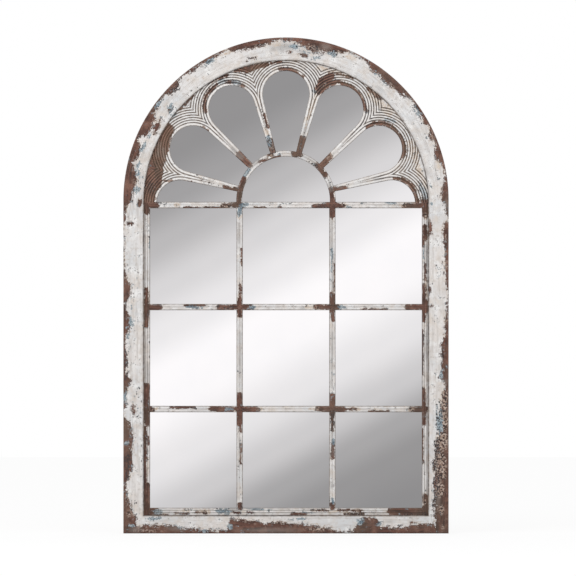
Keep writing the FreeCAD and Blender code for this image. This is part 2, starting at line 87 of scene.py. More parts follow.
# ------------------------------------------------------------------ sizes that the frame's boxes don't tell
SASH_REBATE, BOARD_REBATE = 0.009, 0.021    # how far out from the band's inner line each rebate reaches
PAST_REBATES = 0.023                        # a little farther out than both
PLAY = 0.0007                               # gap between the band and what sits inside it
COPE = 0.0035                               # how far a coped end runs on into its neighbour
TONGUE = 0.008                              # sash timber that sits behind the band's lip
RAIL_TOP = 0.081                            # upper edge of the sash's bottom rail
SINK = 0.002                                # how far the sash strips' flats lie behind the bars' faces
SLOPE = 0.0025                              # how far a strip slopes back beside a pane
BEADS = ((0.0015, 0.007), (0.0085, 0.014))  # where the strips' beads start and end, away from the pane
HUB_MIDDLE = 0.00925                        # from the hub arch's outer round to the middle of its section
HUB_NARROWING = 0.925                       # width of the hub arch's section against a bar's
RIB_HALF = 0.0095                           # half width of a rib where it leaves the hub
GRID_FOOT, RIB_FOOT = 0.145, 0.1555         # radii at which a rib's grid starts and at which it is cut
RELIEF, CUT = 0.0035, 0.0026                # height of the carving, and depth of its lines
FIRST_LINE, LAST_LINE = 0.010, 6.5          # first line from the petal's edge; from there on, in pitches
ACROSS = 0.003                              # distance between two points across a piece

WELD = 2e-6                                 # points this near become one
CREASE = math.radians(38)                   # sharper edges stay creased

# Shifts along the grain, so that no two kinds of piece show the same stretch of it, in metres; then those
# for each metre up, each metre across and each radian that a piece lies from the next of its kind.
BAND_RAIL_SHIFT, STILE_SHIFT, SASH_RAIL_SHIFT, HUB_SHIFT = 5.0, 9.0, 13.0, 3.0
BAR_SHIFT, POST_SHIFT, RIB_SHIFT = 30, 40, 7


# ------------------------------------------------------------------ sizes, finishes and stage
def length(name, description, default, **limits):
    """Property that holds a length in metres."""
    return FloatProperty(name=name, description=description, default=default, unit="LENGTH", **limits)


def tint(name, description, default):
    """Property that holds a colour."""
    return FloatVectorProperty(name=name, description=description, default=default, subtype="COLOR",
                               min=0, max=1)


class MirrorSizes(bpy.types.PropertyGroup):
    """Main sizes of the mirror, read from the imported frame."""

    half_width: length("Half width", "From the middle to the outer edge", CAD_BOX[1].x)
    spring: length("Spring height", "Height of the centre of the round top", STILE_BOX[1].z)
    face: length("Face depth", "Depth of the band's face", STILE_BOX[0].y)
    back: length("Back depth", "Depth of the band's back", STILE_BOX[1].y)
    sight_half: length("Sight half width", "Half width inside the band", RAIL_BOX[1].x)
    sight_bottom: length("Sight bottom", "Height of the band's lower inner edge", RAIL_BOX[1].z)
    sight_spring: length("Sight spring", "Height of the centre of the inner round",
                         GLASS_BOX[1].z - GLASS_BOX[1].x)
    sash_face: length("Sash depth", "Depth of the face of sash, bars and carving", POST_BOX[0].y)
    ledge: length("Ledge depth", "Depth at which the band's lip ends", -0.008)
    glass: length("Mirror depth", "Depth of the mirror's face", GLASS_BOX[0].y)
    cove: length("Cove", "Width and depth of the cove inside the band", 0.003)
    edge_round: length("Edge round", "Radius of the band's outer edge", 0.006)
    bar: length("Bar width", "Width of a glazing bar", TRANSOM_BOX[1].z - TRANSOM_BOX[0].z)
    strip: length("Sash strip", "Sash stile that shows beside the panes", 0.020)
    petal_step: FloatProperty(name="Petal step", description="Angle between two petals of the fan",
                              default=math.radians(30.6), subtype="ANGLE")
    petal_ring: length("Petal ring", "Radius on which the petals' round ends sit", 0.339)
    petal_round: length("Petal round", "Radius of a petal's end", 0.0745)
    reed: length("Reed pitch", "Distance between two carved lines", 0.008)
    spacing: length("Mesh spacing", "Distance between two stations along a moulding", 0.004, min=0.001)


class MirrorFinish(bpy.types.PropertyGroup):
    """Colours and weathering of the finishes."""

    paint: tint("Paint", "Off-white top coat", (0.760, 0.725, 0.705))
    paint_shade: tint("Aged paint", "Greyer, dirtier parts of the top coat", (0.47, 0.43, 0.40))
    wood: tint("Wood", "Reddish-brown wood where the paint is gone", (0.165, 0.074, 0.053))
    dark_wood: tint("Dark wood", "Stained hollows and edges of the wood", (0.050, 0.028, 0.022))
    blue: tint("Undercoat", "Blue-grey undercoat in the chips", (0.165, 0.250, 0.312))
    tan: tint("Primer", "Peach primer in the chips", (0.57, 0.445, 0.335))
    wear: FloatProperty(name="Wear", description="How far the worn patches spread", default=0.462, min=0.3,
                        max=0.7, subtype="FACTOR")
    silver: tint("Silvering", "Tint of the mirror", (0.93, 0.93, 0.935))
    board: tint("Hardboard", "Brown back board", (0.175, 0.095, 0.050))
    zinc: tint("Zinc", "Zinc plating of the fixings", (0.62, 0.62, 0.60))
    seed: IntProperty(name="Seed", description="Seed of the small irregularities", default=7)


class MirrorStage(bpy.types.PropertyGroup):
    """Camera, floor and light."""

    distance: length("Camera distance", "From the camera to the mirror", 20.0)
    field: length("Field width", "Width that the camera sees at the mirror", 1.8432)
    aim_x: length("Aim across", "Where the camera aims, across", 0.0064)
    aim_z: length("Aim height", "Where the camera aims, up", 0.7847)
    sky: FloatProperty(name="Room light", description="Strength of the light from all round", default=0.88)
    key: FloatProperty(name="Key light", description="Power of the large soft lamp", default=44.0,
                       unit="POWER")
    fill: FloatProperty(name="Fill light", description="Power of the second lamp", default=16.0,
                        unit="POWER")


def sizes():
    return bpy.context.scene.window_mirror_sizes


def finish():
    return bpy.context.scene.window_mirror_finish


# ------------------------------------------------------------------ where the paint is worn, in millimetres
# Worn depth of the band's outer edge: place along the edge from the lower left corner, up the left side,
# over the top and down the right side, then how far in from the edge the wood shows.
EDGE_WEAR = (
    (0, 60), (18, 60), (24, 42), (50, 39), (62, 32), (76, 27), (96, 22), (110, 15), (120, 5), (150, 4),
    (165, 8), (170, 18), (190, 20), (202, 25), (230, 27), (270, 27), (292, 25), (302, 28), (330, 26),
    (346, 23), (360, 18), (368, 6), (376, 0), (396, 0), (410, 4), (440, 4), (460, 12), (480, 20), (490, 28),
    (497, 22), (502, 10), (540, 11), (580, 8), (600, 4), (636, 8), (642, 18), (670, 20), (700, 19),
    (712, 13), (724, 3), (738, 3), (746, 12), (760, 20), (780, 23), (800, 20), (815, 10), (830, 8),
    (850, 2), (890, 1), (930, -2), (975, -2), (985, 2), (1000, 6), (1030, 8), (1050, 15), (1065, 26),
    (1082, 29), (1100, 31), (1120, 38), (1135, 40), (1150, 31), (1165, 28), (1180, 21), (1190, 13),
    (1200, 22), (1220, 28), (1250, 25), (1262, 14), (1272, 10), (1284, 16), (1290, 29), (1312, 32),
    (1345, 32), (1358, 28), (1365, 14), (1390, 15), (1400, 10), (1440, 8), (1455, 19), (1490, 20),
    (1500, 4), (1530, 5), (1560, 8), (1590, 10), (1610, 14), (1630, 12), (1645, 8), (1660, 3), (1690, 6),
    (1705, 15), (1750, 22), (1776, 26), (1792, 22), (1830, 18), (1846, 7), (1870, 6), (1890, 8), (1912, 14),
    (1930, 22), (1945, 29), (1960, 34), (1978, 42), (1998, 34), (2020, 30), (2040, 28), (2060, 20),
    (2072, 18), (2082, 10), (2100, 5), (2130, 4), (2162, 6), (2175, 18), (2190, 24), (2220, 22), (2250, 25),
    (2272, 28), (2292, 25), (2312, 18), (2332, 12), (2350, 5), (2366, 7), (2382, 13), (2420, 12),
    (2436, 18), (2450, 7), (2470, 10), (2490, 21), (2502, 13), (2530, 15), (2556, 23), (2572, 14),
    (2600, 4), (2640, 7), (2655, 21), (2680, 22), (2692, 26), (2702, 22), (2708, 9), (2725, 7), (2745, 3),
    (2768, 4), (2776, 16), (2792, 18), (2816, 18), (2830, 12), (2850, 10), (2900, 13), (2930, 10),
    (2970, 5), (3000, 3), (3050, 2), (3080, 8), (3110, 10), (3135, 15), (3160, 20), (3182, 21), (3200, 18),
    (3240, 20), (3256, 24), (3267, 31), (3276, 12), (3295, 14), (3330, 20), (3370, 27), (3410, 30),
    (3450, 31), (3480, 38), (3530, 45), (3600, 46), (3680, 45), (3720, 43), (3750, 40), (3766, 60))

# The same for the lower edge: place across from the middle, then how far up from the edge the wood shows.
FOOT_WEAR = (
    (-520, 60), (-500, 28), (-480, 25), (-440, 25), (-410, 27), (-375, 25), (-352, 24), (-346, 15),
    (-320, 12), (-290, 14), (-250, 11), (-205, 10), (-188, 8), (-182, 36), (-176, 47), (-160, 46),
    (-130, 43), (-100, 38), (-80, 34), (-66, 29), (-58, 35), (-46, 39), (-20, 37), (5, 34), (40, 29),
    (70, 25), (100, 23), (130, 20), (148, 14), (165, 6), (190, 2), (212, 6), (224, 22), (236, 38),
    (250, 48), (270, 51), (290, 49), (302, 24), (318, 20), (352, 18), (388, 19), (404, 30), (430, 33),
    (460, 31), (478, 26), (492, 30), (520, 60))

# Patches on the band: what shows, then each one's middle, along the edge and in from it, and half sizes.
BAND_PATCHES = (
    ("worn", (402, 31, 13, 6), (388, 35, 7, 5), (990, 21, 5, 8), (1060, 53, 13, 6), (1335, 45, 26, 8),
     (1306, 48, 6, 4), (1413, 50, 13, 6), (1648, 10, 4, 3), (1525, 27, 3, 2), (1571, 50, 2, 2),
     (1760, 57, 14, 5), (1737, 60, 7, 3), (1944, 54, 15, 6), (1898, 46, 8, 3), (2788, 59, 18, 6),
     (2803, 63, 8, 5), (2985, 60, 6, 3), (3038, 58, 3, 8)),
    ("blue", (402, 50, 8, 3), (440, 5, 14, 5), (285, 11, 7, 6), (622, 14, 22, 5), (676, 25, 12, 5),
     (717, 23, 8, 5), (1107, 44, 14, 8), (1122, 50, 10, 5), (1146, 52, 12, 7), (1158, 42, 10, 5),
     (1182, 34, 14, 4), (1256, 34, 24, 7), (1296, 36, 8, 5), (1422, 44, 9, 6), (1404, 67, 14, 3),
     (1400, 10, 20, 4), (1618, 14, 18, 7), (1912, 30, 14, 8), (1990, 58, 12, 5), (2042, 30, 16, 8),
     (2208, 26, 6, 3), (2392, 14, 14, 6), (2710, 55, 7, 3), (2652, 54, 3, 3), (3255, 24, 8, 4),
     (3405, 30, 40, 9), (3432, 24, 8, 6), (1258, 33, 14, 7), (1104, 42, 10, 9), (1940, 40, 14, 6)),
    ("tan", (63, 18, 10, 6), (112, 12, 16, 4), (1680, 14, 22, 4), (2480, 10, 16, 5), (3080, 8, 14, 4),
     (3340, 16, 50, 13), (3410, 18, 30, 16), (3470, 22, 34, 20), (3550, 26, 46, 20), (3625, 28, 24, 14),
     (3690, 24, 14, 9), (3745, 18, 6, 5), (1850, 22, 20, 8), (1965, 24, 16, 8), (2100, 20, 20, 6),
     (2585, 20, 18, 8)),
    ("dark", (390, 52, 12, 3), (225, 12, 30, 9), (184, 12, 12, 7), (540, 8, 36, 7), (606, 8, 10, 3),
     (1256, 35, 12, 6), (1276, 8, 7, 7), (1476, 14, 20, 9), (1612, 18, 10, 5), (1760, 57, 10, 3),
     (1908, 24, 12, 8), (1976, 27, 12, 8), (2045, 24, 14, 8), (2387, 15, 16, 6), (2433, 22, 6, 5),
     (3390, 34, 34, 8), (3480, 40, 60, 8), (3600, 42, 60, 8), (3400, 40, 30, 4), (450, 48, 16, 8),
     (425, 56, 16, 4), (404, 46, 8, 4), (250, 62, 60, 2), (95, 38, 8, 3), (1128, 46, 6, 6)),
    ("dim", (1868, 40, 12, 8), (1840, 34, 10, 8), (1942, 44, 14, 6), (2015, 14, 14, 8), (2252, 56, 9, 3),
     (2715, 8, 10, 5), (3280, 12, 5, 6), (3640, 34, 26, 5), (1880, 30, 40, 12), (1990, 30, 12, 8),
     (2600, 60, 10, 5)))

# The same on the lower part of the band, with the middle across and up.
FOOT_PATCHES = (
    ("worn", (400, 34, 6, 5)),
    ("blue", (-418, 48, 18, 5), (-490, 24, 8, 6), (-262, 9, 9, 5), (-178, 22, 6, 8), (40, 46, 20, 4),
     (236, 38, 10, 8), (300, 30, 8, 8)),
    ("tan", (100, 14, 30, 6), (-440, 8, 30, 4)),
    ("dark", (300, 30, 6, 6)),
    ("dim", (-480, 12, 16, 8), (-345, 16, 20, 4), (-178, 20, 4, 5), (-60, 10, 60, 6), (330, 38, 8, 3)))

# Strokes on sash, bars and carving: what shows, then each one's two ends, across and up, and half width.
FIELD_STROKES = (
    # posts
    ("worn", (-147, 82, -147, 93, 7), (-145, 222, -144, 284, 2.5), (-148, 352, -148, 442, 10),
     (-145, 326, -146, 352, 5), (-148, 696, -148, 746, 9), (-146, 744, -146, 797, 4),
     (-141, 860, -141, 912, 2.5), (-146, 1040, -146, 1052, 7), (148, 82, 148, 92, 9),
     (149, 242, 149, 286, 5), (148, 330, 148, 386, 5), (148, 386, 148, 436, 11), (150, 682, 149, 712, 6),
     (148, 712, 148, 763, 9), (155, 775, 155, 862, 2.5), (148, 1016, 148, 1052, 10)),
    ("blue", (-148, 1024, -147, 1038, 8), (149, 100, 149, 106, 6), (149, 288, 149, 300, 5),
     (145, 806, 146, 910, 3)),
    ("tan", (-148, 1014, -148, 1022, 8)),
    ("dark", (-153, 158, -152, 214, 3), (-141, 560, -141, 610, 3), (146, 217, 148, 219, 4),
     (148, 330, 148, 386, 8)),
    ("dim", (147, 148, 147, 160, 4), (145, 1004, 145, 900, 3), (151, 880, 151, 772, 2.5),
     (148, 640, 148, 560, 3), (146, 560, 146, 470, 2), (-146, 640, -147, 500, 3), (-151, 990, -151, 930, 2),
     (-148, 300, -148, 250, 2.5), (148, 330, 148, 250, 2)),
    # transom
    ("worn", (-446, 1050, -418, 1049, 10), (-326, 1042, -212, 1041, 3), (-205, 1046, -166, 1052, 7),
     (-166, 1050, -142, 1050, 9), (-98, 1042, -62, 1041, 3), (-22, 1042, -16, 1043, 3),
     (90, 1045, 132, 1048, 7), (134, 1050, 158, 1050, 10), (158, 1050, 182, 1049, 8),
     (378, 1046, 448, 1050, 8)),
    ("blue", (-142, 1050, -127, 1052, 7), (196, 1044, 206, 1043, 3), (318, 1058, 350, 1058, 3)),
    ("tan", (-352, 1050, -344, 1050, 6), (-206, 1049, -180, 1047, 5), (184, 1050, 192, 1050, 6),
     (370, 1048, 380, 1050, 6)),
    ("dark", (104, 1043, 132, 1043, 5), (280, 1043, 284, 1044, 4), (376, 1052, 400, 1053, 4)),
    # upper cross bar
    ("worn", (-450, 724, -404, 723, 9), (-326, 729, -262, 730, 3.5), (-214, 723, -168, 724, 8),
     (-168, 724, -114, 724, 9), (96, 724, 136, 724, 8), (136, 724, 166, 724, 9), (240, 716, 322, 716, 2.5),
     (390, 724, 446, 724, 9)),
    ("blue", (-318, 723, -268, 722, 4), (-112, 724, -103, 724, 7), (172, 723, 186, 724, 7)),
    ("tan", (66, 723, 100, 723, 6)),
    ("dark", (-300, 724, -270, 720, 3), (-236, 722, -216, 725, 3), (-205, 720, -172, 722, 4)),
    ("dim", (50, 719, 58, 719, 4)),
    # lower cross bar
    ("worn", (-450, 397, -430, 397, 10), (-366, 404, -292, 404, 4), (-238, 398, -168, 397, 9),
     (-168, 397, -92, 397, 8), (104, 398, 136, 397, 9), (136, 397, 184, 397, 9), (186, 398, 222, 398, 4),
     (266, 390, 328, 390, 3), (404, 397, 446, 397, 9)),
    ("blue", (-190, 395, -168, 396, 6)),
    ("tan", (-426, 397, -416, 397, 7), (-90, 398, -82, 398, 6), (76, 399, 104, 399, 5),
     (224, 397, 234, 397, 5), (284, 396, 306, 395, 4), (396, 397, 404, 397, 6)),
    ("dark", (-302, 398, -288, 399, 5), (-236, 394, -226, 392, 4)),
    # sash rail
    ("worn", (-456, 68, -418, 72, 12), (-408, 62, -380, 61, 3), (-354, 65, -314, 64, 2),
     (-286, 67, -254, 66, 3.5), (-172, 67, -146, 66, 2.5), (-125, 68, -108, 66, 2), (20, 63, 64, 62, 3.5),
     (82, 74, 138, 73, 2.5), (168, 74, 240, 72, 4), (188, 62, 246, 62, 4), (336, 70, 452, 70, 13)),
    ("blue", (-416, 69, -398, 68, 6), (-219, 71, -186, 70, 8), (-124, 79, -74, 78, 3), (54, 68, 90, 65, 3)),
    ("tan", (-336, 72, -310, 72, 4), (-274, 71, -248, 69, 8), (-140, 70, -128, 66, 4),
     (140, 68, 166, 72, 5), (176, 68, 204, 66, 4)),
    # The two thin dark strokes along the rail's top edge, 78 to 79 mm up, are grime together with painted
    # shadow at the pane's edge.
    ("dark", (-240, 79, -150, 79, 2), (-10, 66, -4, 66, 3), (60, 78, 134, 79, 2), (192, 61, 240, 60, 5),
     (262, 56, 292, 56, 4), (380, 62, 450, 62, 4)),
    ("dim", (-186, 76, -154, 75, 5)),
    # sash stiles
    ("worn", (-446, 58, -446, 152, 12), (-451, 150, -451, 340, 5), (-440, 284, -441, 312, 2.5),
     (-445, 352, -446, 472, 10), (-447, 664, -446, 782, 7), (-446, 1030, -446, 1060, 11),
     (446, 56, 446, 80, 12), (448, 82, 446, 118, 9), (436, 226, 436, 332, 2.5), (440, 352, 441, 380, 5),
     (440, 380, 440, 460, 7), (436, 510, 436, 650, 3), (440, 678, 441, 712, 5), (444, 712, 444, 740, 9),
     (440, 742, 442, 792, 6), (446, 810, 444, 866, 3), (438, 918, 438, 948, 5), (446, 944, 444, 980, 8),
     (448, 1020, 444, 1060, 12)),
    ("blue", (-437, 912, -437, 940, 3), (441, 880, 441, 918, 3)),
    ("tan", (-442, 190, -442, 240, 3), (444, 92, 444, 110, 4), (450, 758, 446, 800, 4),
     (448, 1008, 446, 1018, 6)),
    ("dark", (-437, 558, -437, 610, 3), (-437, 940, -438, 1010, 2), (437, 460, 437, 640, 2)),
    ("dim", (-443, 484, -443, 540, 4), (448, 560, 448, 640, 2.5), (449, 860, 449, 920, 2.5)),
    # hub arch
    ("worn", (-152, 1058, -149, 1092, 9), (-149, 1092, -134, 1134, 9), (-86, 1188, -20, 1205, 3),
     (-52, 1213, -48, 1212, 8), (24, 1214, 44, 1211, 9), (100, 1178, 124, 1146, 8),
     (143, 1098, 150, 1058, 9)),
    ("blue", (-130, 1148, -122, 1163, 8)),
    ("tan", (-56, 1218, -46, 1208, 6)),
    ("dark", (12, 1216, 16, 1217, 3), (52, 1204, 98, 1176, 3.5)),
    ("dim", (-118, 1168, -86, 1195, 5), (60, 1206, 92, 1186, 3), (139, 1118, 143, 1098, 5)),
    # rib 1, lower left, and the worn carving beside it
    ("worn", (-378, 1292, -396, 1242, 19), (-396, 1242, -415, 1180, 24), (-420, 1160, -424, 1120, 26),
     (-434, 1110, -440, 1060, 20), (-386, 1128, -304, 1124, 3), (-196, 1106, -156, 1093, 7),
     (-166, 1100, -152, 1098, 8)),
    ("dark", (-394, 1180, -378, 1140, 9), (-418, 1184, -410, 1128, 7), (-436, 1116, -430, 1084, 6),
     (-304, 1151, -226, 1129, 3), (-268, 1126, -246, 1118, 5), (-240, 1118, -218, 1110, 5)),
    ("dim", (-392, 1228, -390, 1200, 6), (-404, 1246, -410, 1208, 5)),
    # rib 2
    ("worn", (-340, 1360, -300, 1401, 6), (-271, 1297, -250, 1287, 5), (-149, 1210, -120, 1179, 13)),
    ("blue", (-361, 1337, -355, 1342, 8)),
    ("dark", (-222, 1269, -219, 1268, 3), (-235, 1270, -232, 1268, 3), (-206, 1248, -202, 1243, 4)),
    ("dim", (-170, 1225, -144, 1204, 9)),
    # petal between ribs 2 and 3
    ("worn", (-222, 1436, -240, 1418, 5), (-240, 1418, -258, 1394, 6), (-258, 1394, -262, 1362, 6),
     (-262, 1370, -256, 1350, 6), (-190, 1444, -166, 1443, 5), (-150, 1438, -136, 1430, 5),
     (-236, 1446, -190, 1465, 5)),
    ("blue", (-214, 1442, -196, 1447, 6), (-166, 1443, -150, 1440, 8)),
    ("dark", (-228, 1434, -186, 1447, 4), (-178, 1440, -172, 1440, 4), (-262, 1380, -266, 1362, 5)),
    ("dim", (-134, 1430, -126, 1411, 4)),
    # rib 3
    ("worn", (-160, 1480, -60, 1498, 8), (-126, 1484, -110, 1487, 12), (-60, 1500, -14, 1510, 4),
     (-112, 1390, -97, 1362, 3), (-70, 1338, -58, 1300, 4), (-51, 1254, -43, 1226, 12)),
    ("blue", (-57, 1266, -50, 1242, 9)),
    ("tan", (-66, 1288, -58, 1276, 7)),
    ("dark", (-80, 1352, -76, 1350, 8), (-74, 1312, -66, 1296, 3), (-54, 1264, -42, 1224, 12)),
    ("dim", (-50, 1252, -46, 1236, 9)),
    # top petal and rib 4
    ("worn", (-19, 1486, 6, 1484, 5), (6, 1484, 30, 1476, 6), (30, 1476, 54, 1458, 5),
     (104, 1422, 114, 1446, 12), (114, 1446, 144, 1462, 13), (106, 1408, 134, 1436, 7),
     (134, 1436, 166, 1445, 7), (166, 1445, 202, 1432, 7), (202, 1432, 230, 1408, 6),
     (230, 1408, 246, 1378, 7), (246, 1378, 254, 1354, 6), (150, 1474, 214, 1456, 3),
     (52, 1262, 41, 1222, 12)),
    ("blue", (84, 1416, 90, 1414, 5)),
    ("tan", (-42, 1484, -20, 1488, 4), (100, 1490, 206, 1464, 8), (70, 1330, 96, 1400, 6),
     (68, 1330, 62, 1300, 5)),
    ("dark", (104, 1414, 122, 1442, 6), (180, 1446, 212, 1434, 4), (196, 1450, 212, 1454, 4),
     (60, 1282, 57, 1268, 3)),
    ("dim", (64, 1296, 56, 1270, 4)),
    # rib 5
    ("worn", (262, 1422, 302, 1390, 5), (135, 1204, 112, 1172, 13)),
    ("tan", (270, 1404, 330, 1346, 13), (330, 1372, 372, 1326, 7), (141, 1212, 134, 1204, 7)),
    ("dark", (262, 1376, 266, 1376, 2), (209, 1294, 212, 1293, 3)),
    # petal between ribs 5 and 6
    ("worn", (260, 1300, 284, 1311, 5), (284, 1311, 312, 1312, 6), (312, 1312, 338, 1300, 6),
     (338, 1300, 360, 1274, 6), (360, 1274, 375, 1241, 8), (375, 1241, 375, 1212, 8),
     (375, 1212, 358, 1191, 6)),
    ("blue", (322, 1322, 344, 1320, 6)),
    ("dark", (346, 1296, 366, 1266, 4), (368, 1280, 378, 1262, 4), (374, 1226, 362, 1200, 4)),
    # rib 6
    ("worn", (150, 1100, 188, 1104, 7), (345, 1136, 372, 1131, 4), (372, 1131, 400, 1114, 7),
     (400, 1114, 420, 1060, 8)),
    ("blue", (430, 1112, 446, 1074, 8)),
    ("tan", (398, 1250, 428, 1150, 10), (404, 1276, 426, 1216, 6), (436, 1140, 448, 1110, 6)),
    ("dark", (194, 1115, 197, 1115, 3), (424, 1120, 446, 1062, 9), (430, 1160, 434, 1150, 4)),
    ("dim", (150, 1112, 176, 1108, 4), (288, 1132, 302, 1134, 6)))

LAYERS = {"worn": 0, "blue": 1, "tan": 2, "dark": 3, "dim": 4}
# Width over which a layer fades at its border, in millimetres; noise breaks the border up within it.
BAND_SOFT, PATCH_SOFT, FIELD_SOFT = 26, 14, 11
# From the band's face, 0, to its back, 1: where bare wood starts and where the front's marks fade, each
# with how fast it does so.
BARE_BEHIND, FRONT_FADES = (0.35, 1.8), (0.5, 2.2)


# ------------------------------------------------------------------ distances on the mirror's outline
def arch_place(x, z):
    """Place along the outer edge from the lower left corner, and depth from it, both in metres."""
    s = sizes()
    over = z > s.spring
    angle = np.arctan2(x, np.maximum(z - s.spring, 1e-9))
    along = np.where(over, s.spring + (angle + math.pi / 2) * s.half_width,
                     np.where(x < 0, z, s.spring + math.pi * s.half_width + (s.spring - z)))
    return along, outer_depth(x, z, foot=False)


def outer_depth(x, z, foot=True):
    """Distance in from the outer edge; the lower edge counts if foot is true."""
    s = sizes()
    side = s.half_width - np.abs(x)
    if foot:
        side = np.minimum(side, z)
    return np.where(z > s.spring, s.half_width - np.hypot(x, z - s.spring), side)


def sight_growth(x, z):
    """Distance out from the band's inner line."""
    s = sizes()
    low = np.maximum(np.abs(x) - s.sight_half, s.sight_bottom - z)
    return np.where(z > s.sight_spring, np.hypot(x, z - s.sight_spring) - s.sight_half, low)


# ------------------------------------------------------------------ weathering of vertices
def stroke_cover(x, z, stroke, soft):
    """1 inside a stroke and 0 outside it, with a soft rim; the stroke is in millimetres."""
    x0, z0, x1, z1, half = stroke
    dx, dz = x1 - x0, z1 - z0
    t = np.clip(((x - x0) * dx + (z - z0) * dz) / max(dx * dx + dz * dz, 1e-9), 0, 1)
    return np.clip(0.5 + (half - np.hypot(x - x0 - t * dx, z - z0 - t * dz)) / soft, 0, 1)


def patch_cover(a, b, patch, soft):
    """The same for a round or oval patch."""
    a0, b0, ra, rb = patch
    inside = 1 - np.hypot((a - a0) / ra, (b - b0) / rb)
    return np.clip(0.5 + inside * min(ra, rb) / soft, 0, 1)


def weather(co, kind):
    """Layer values of every vertex, one column each for worn, blue, tan, dark and dim."""
    x, z = co[:, 0] / MM, co[:, 2] / MM
    out = np.zeros((len(co), len(LAYERS)))

    def lay(name, cover):
        column = LAYERS[name]
        out[:, column] = np.maximum(out[:, column], cover)

    if kind == "field":
        for layer, *strokes in FIELD_STROKES:
            for stroke in strokes:
                lay(layer, stroke_cover(x, z, stroke, FIELD_SOFT))
        return out
    along, depth = arch_place(co[:, 0], co[:, 2])
    along, depth = along / MM, depth / MM
    for place, inward, wear in ((along, depth, EDGE_WEAR), (x, z, FOOT_WEAR)):
        lay("worn", np.clip(0.5 + (np.interp(place, *zip(*wear)) - inward) / BAND_SOFT, 0, 1))
    for place, inward, table in ((along, depth, BAND_PATCHES), (x, z, FOOT_PATCHES)):
        for layer, *patches in table:
            for patch in patches:
                lay(layer, patch_cover(place, inward, patch, PATCH_SOFT))
    behind = (co[:, 1] - sizes().face) / (sizes().back - sizes().face)
    bare, faded = (np.clip((behind - start) * speed, 0, 1) for start, speed in (BARE_BEHIND, FRONT_FADES))
    lay("worn", bare)
    out[:, 1:] *= 1 - faded[:, None]
    return out


def dress(mesh, kind, grain, relief):
    """Stores the weathering, the relief and the grain's direction as attributes of the mesh.

    grain(co) gives how far along and across the grain each vertex lies; relief(co) is 1 in hollows and 0 or
    less on crests.
    """
    co = np.zeros(len(mesh.vertices) * 3)
    mesh.vertices.foreach_get("co", co)
    co = co.reshape(-1, 3)
    layers = weather(co, kind)
    along, across = grain(co)
    for label, storage, field, values in (
            ("layers", "FLOAT_COLOR", "color", layers[:, :4]), ("dim", "FLOAT", "value", layers[:, 4]),
            ("relief", "FLOAT", "value", relief(co)),
            ("grain", "FLOAT_VECTOR", "vector", np.stack([along, across, co[:, 1]], axis=1))):
        attribute = mesh.attributes.new(label, storage, "POINT")
        attribute.data.foreach_set(field, values.astype(np.float32).ravel())


# ------------------------------------------------------------------ mesh building
def new_object(name, data):
    """Object with that data, in the scene's own collection."""
    item = bpy.data.objects.new(name, data)
    bpy.context.scene.collection.objects.link(item)
    return item


def add_piece(name, mesh, node, body="root"):
    """Puts a mesh on the frame in place of one of its nodes."""
    piece = new_object(name, mesh)
    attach(piece, body)
    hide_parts(node)


def add_painted(name, mesh, node):
    """The same for a mesh that is coated with the weathered paint."""
    mesh.materials.append(weathered_paint())
    add_piece(name, mesh, node)


def close_mesh(bm, name, sharp=CREASE):
    """Merges doubles, points the faces outwards and makes a smooth-shaded mesh with sharp creases."""
    bmesh.ops.remove_doubles(bm, verts=bm.verts, dist=WELD)
    bmesh.ops.dissolve_degenerate(bm, edges=bm.edges, dist=1e-7)
    bmesh.ops.recalc_face_normals(bm, faces=bm.faces)
    mesh = bpy.data.meshes.new(name)
    bm.to_mesh(mesh)
    bm.free()
    mesh.shade_smooth()
    mesh.set_sharp_from_angle(angle=sharp)
    return mesh


def slab(x, z, front, back, rows=3):
    """Closed slab over a grid of (x, z) points, with a front and a back depth at every point."""
    nu, nv = x.shape
    count = nu * nv
    rim = ([(i, 0) for i in range(nu)] + [(nu - 1, j) for j in range(1, nv)]
           + [(i, nv - 1) for i in range(nu - 2, -1, -1)] + [(0, j) for j in range(nv - 2, 0, -1)])
    ids = np.array([i * nv + j for i, j in rim])
    fx, fz, fy, by = x.ravel(), z.ravel(), front.ravel(), back.ravel()
    parts = [np.stack([fx, fy, fz], 1), np.stack([fx, by, fz], 1)]
    for r in range(1, rows):
        t = r / rows
        parts.append(np.stack([fx[ids], fy[ids] * (1 - t) + by[ids] * t, fz[ids]], 1))
    verts = np.concatenate(parts)
    i, j = np.meshgrid(np.arange(nu - 1), np.arange(nv - 1), indexing="ij")
    a = (i * nv + j).ravel()
    quads = np.stack([a, a + 1, a + nv + 1, a + nv], 1)
    faces = [quads, quads[:, ::-1] + count]
    between = [2 * count + (r - 1) * len(ids) + np.arange(len(ids)) for r in range(1, rows)]
    rings = [ids, *between, ids + count]
    for upper, lower in zip(rings[:-1], rings[1:]):
        faces.append(np.stack([upper, lower, np.roll(lower, -1), np.roll(upper, -1)], 1))
    mesh = bpy.data.meshes.new("slab")
    mesh.from_pydata(verts.tolist(), [], np.concatenate(faces).tolist())
    bm = bmesh.new()
    bm.from_mesh(mesh)
    bpy.data.meshes.remove(mesh)
    return bm


def stations(start, end, spacing, extra=()):
    """Evenly spaced values from start to end, with extra ones let in."""
    count = max(2, int(round(abs(end - start) / spacing)) + 1)
    values = np.concatenate([np.linspace(start, end, count), np.array(extra, float)])
    low, high = min(start, end), max(start, end)
    return np.unique(np.round(np.clip(values, low, high), 7))


def cut_below(bm, height):
    """Cuts away what lies below a height and closes the cut."""
    done = bmesh.ops.bisect_plane(bm, geom=[*bm.verts, *bm.edges, *bm.faces], dist=1e-7, clear_inner=True,
                                  plane_co=(0, 0, height), plane_no=(0, 0, 1))
    edges = [e for e in done["geom_cut"] if isinstance(e, bmesh.types.BMEdge)]
    bmesh.ops.holes_fill(bm, edges=edges, sides=0)


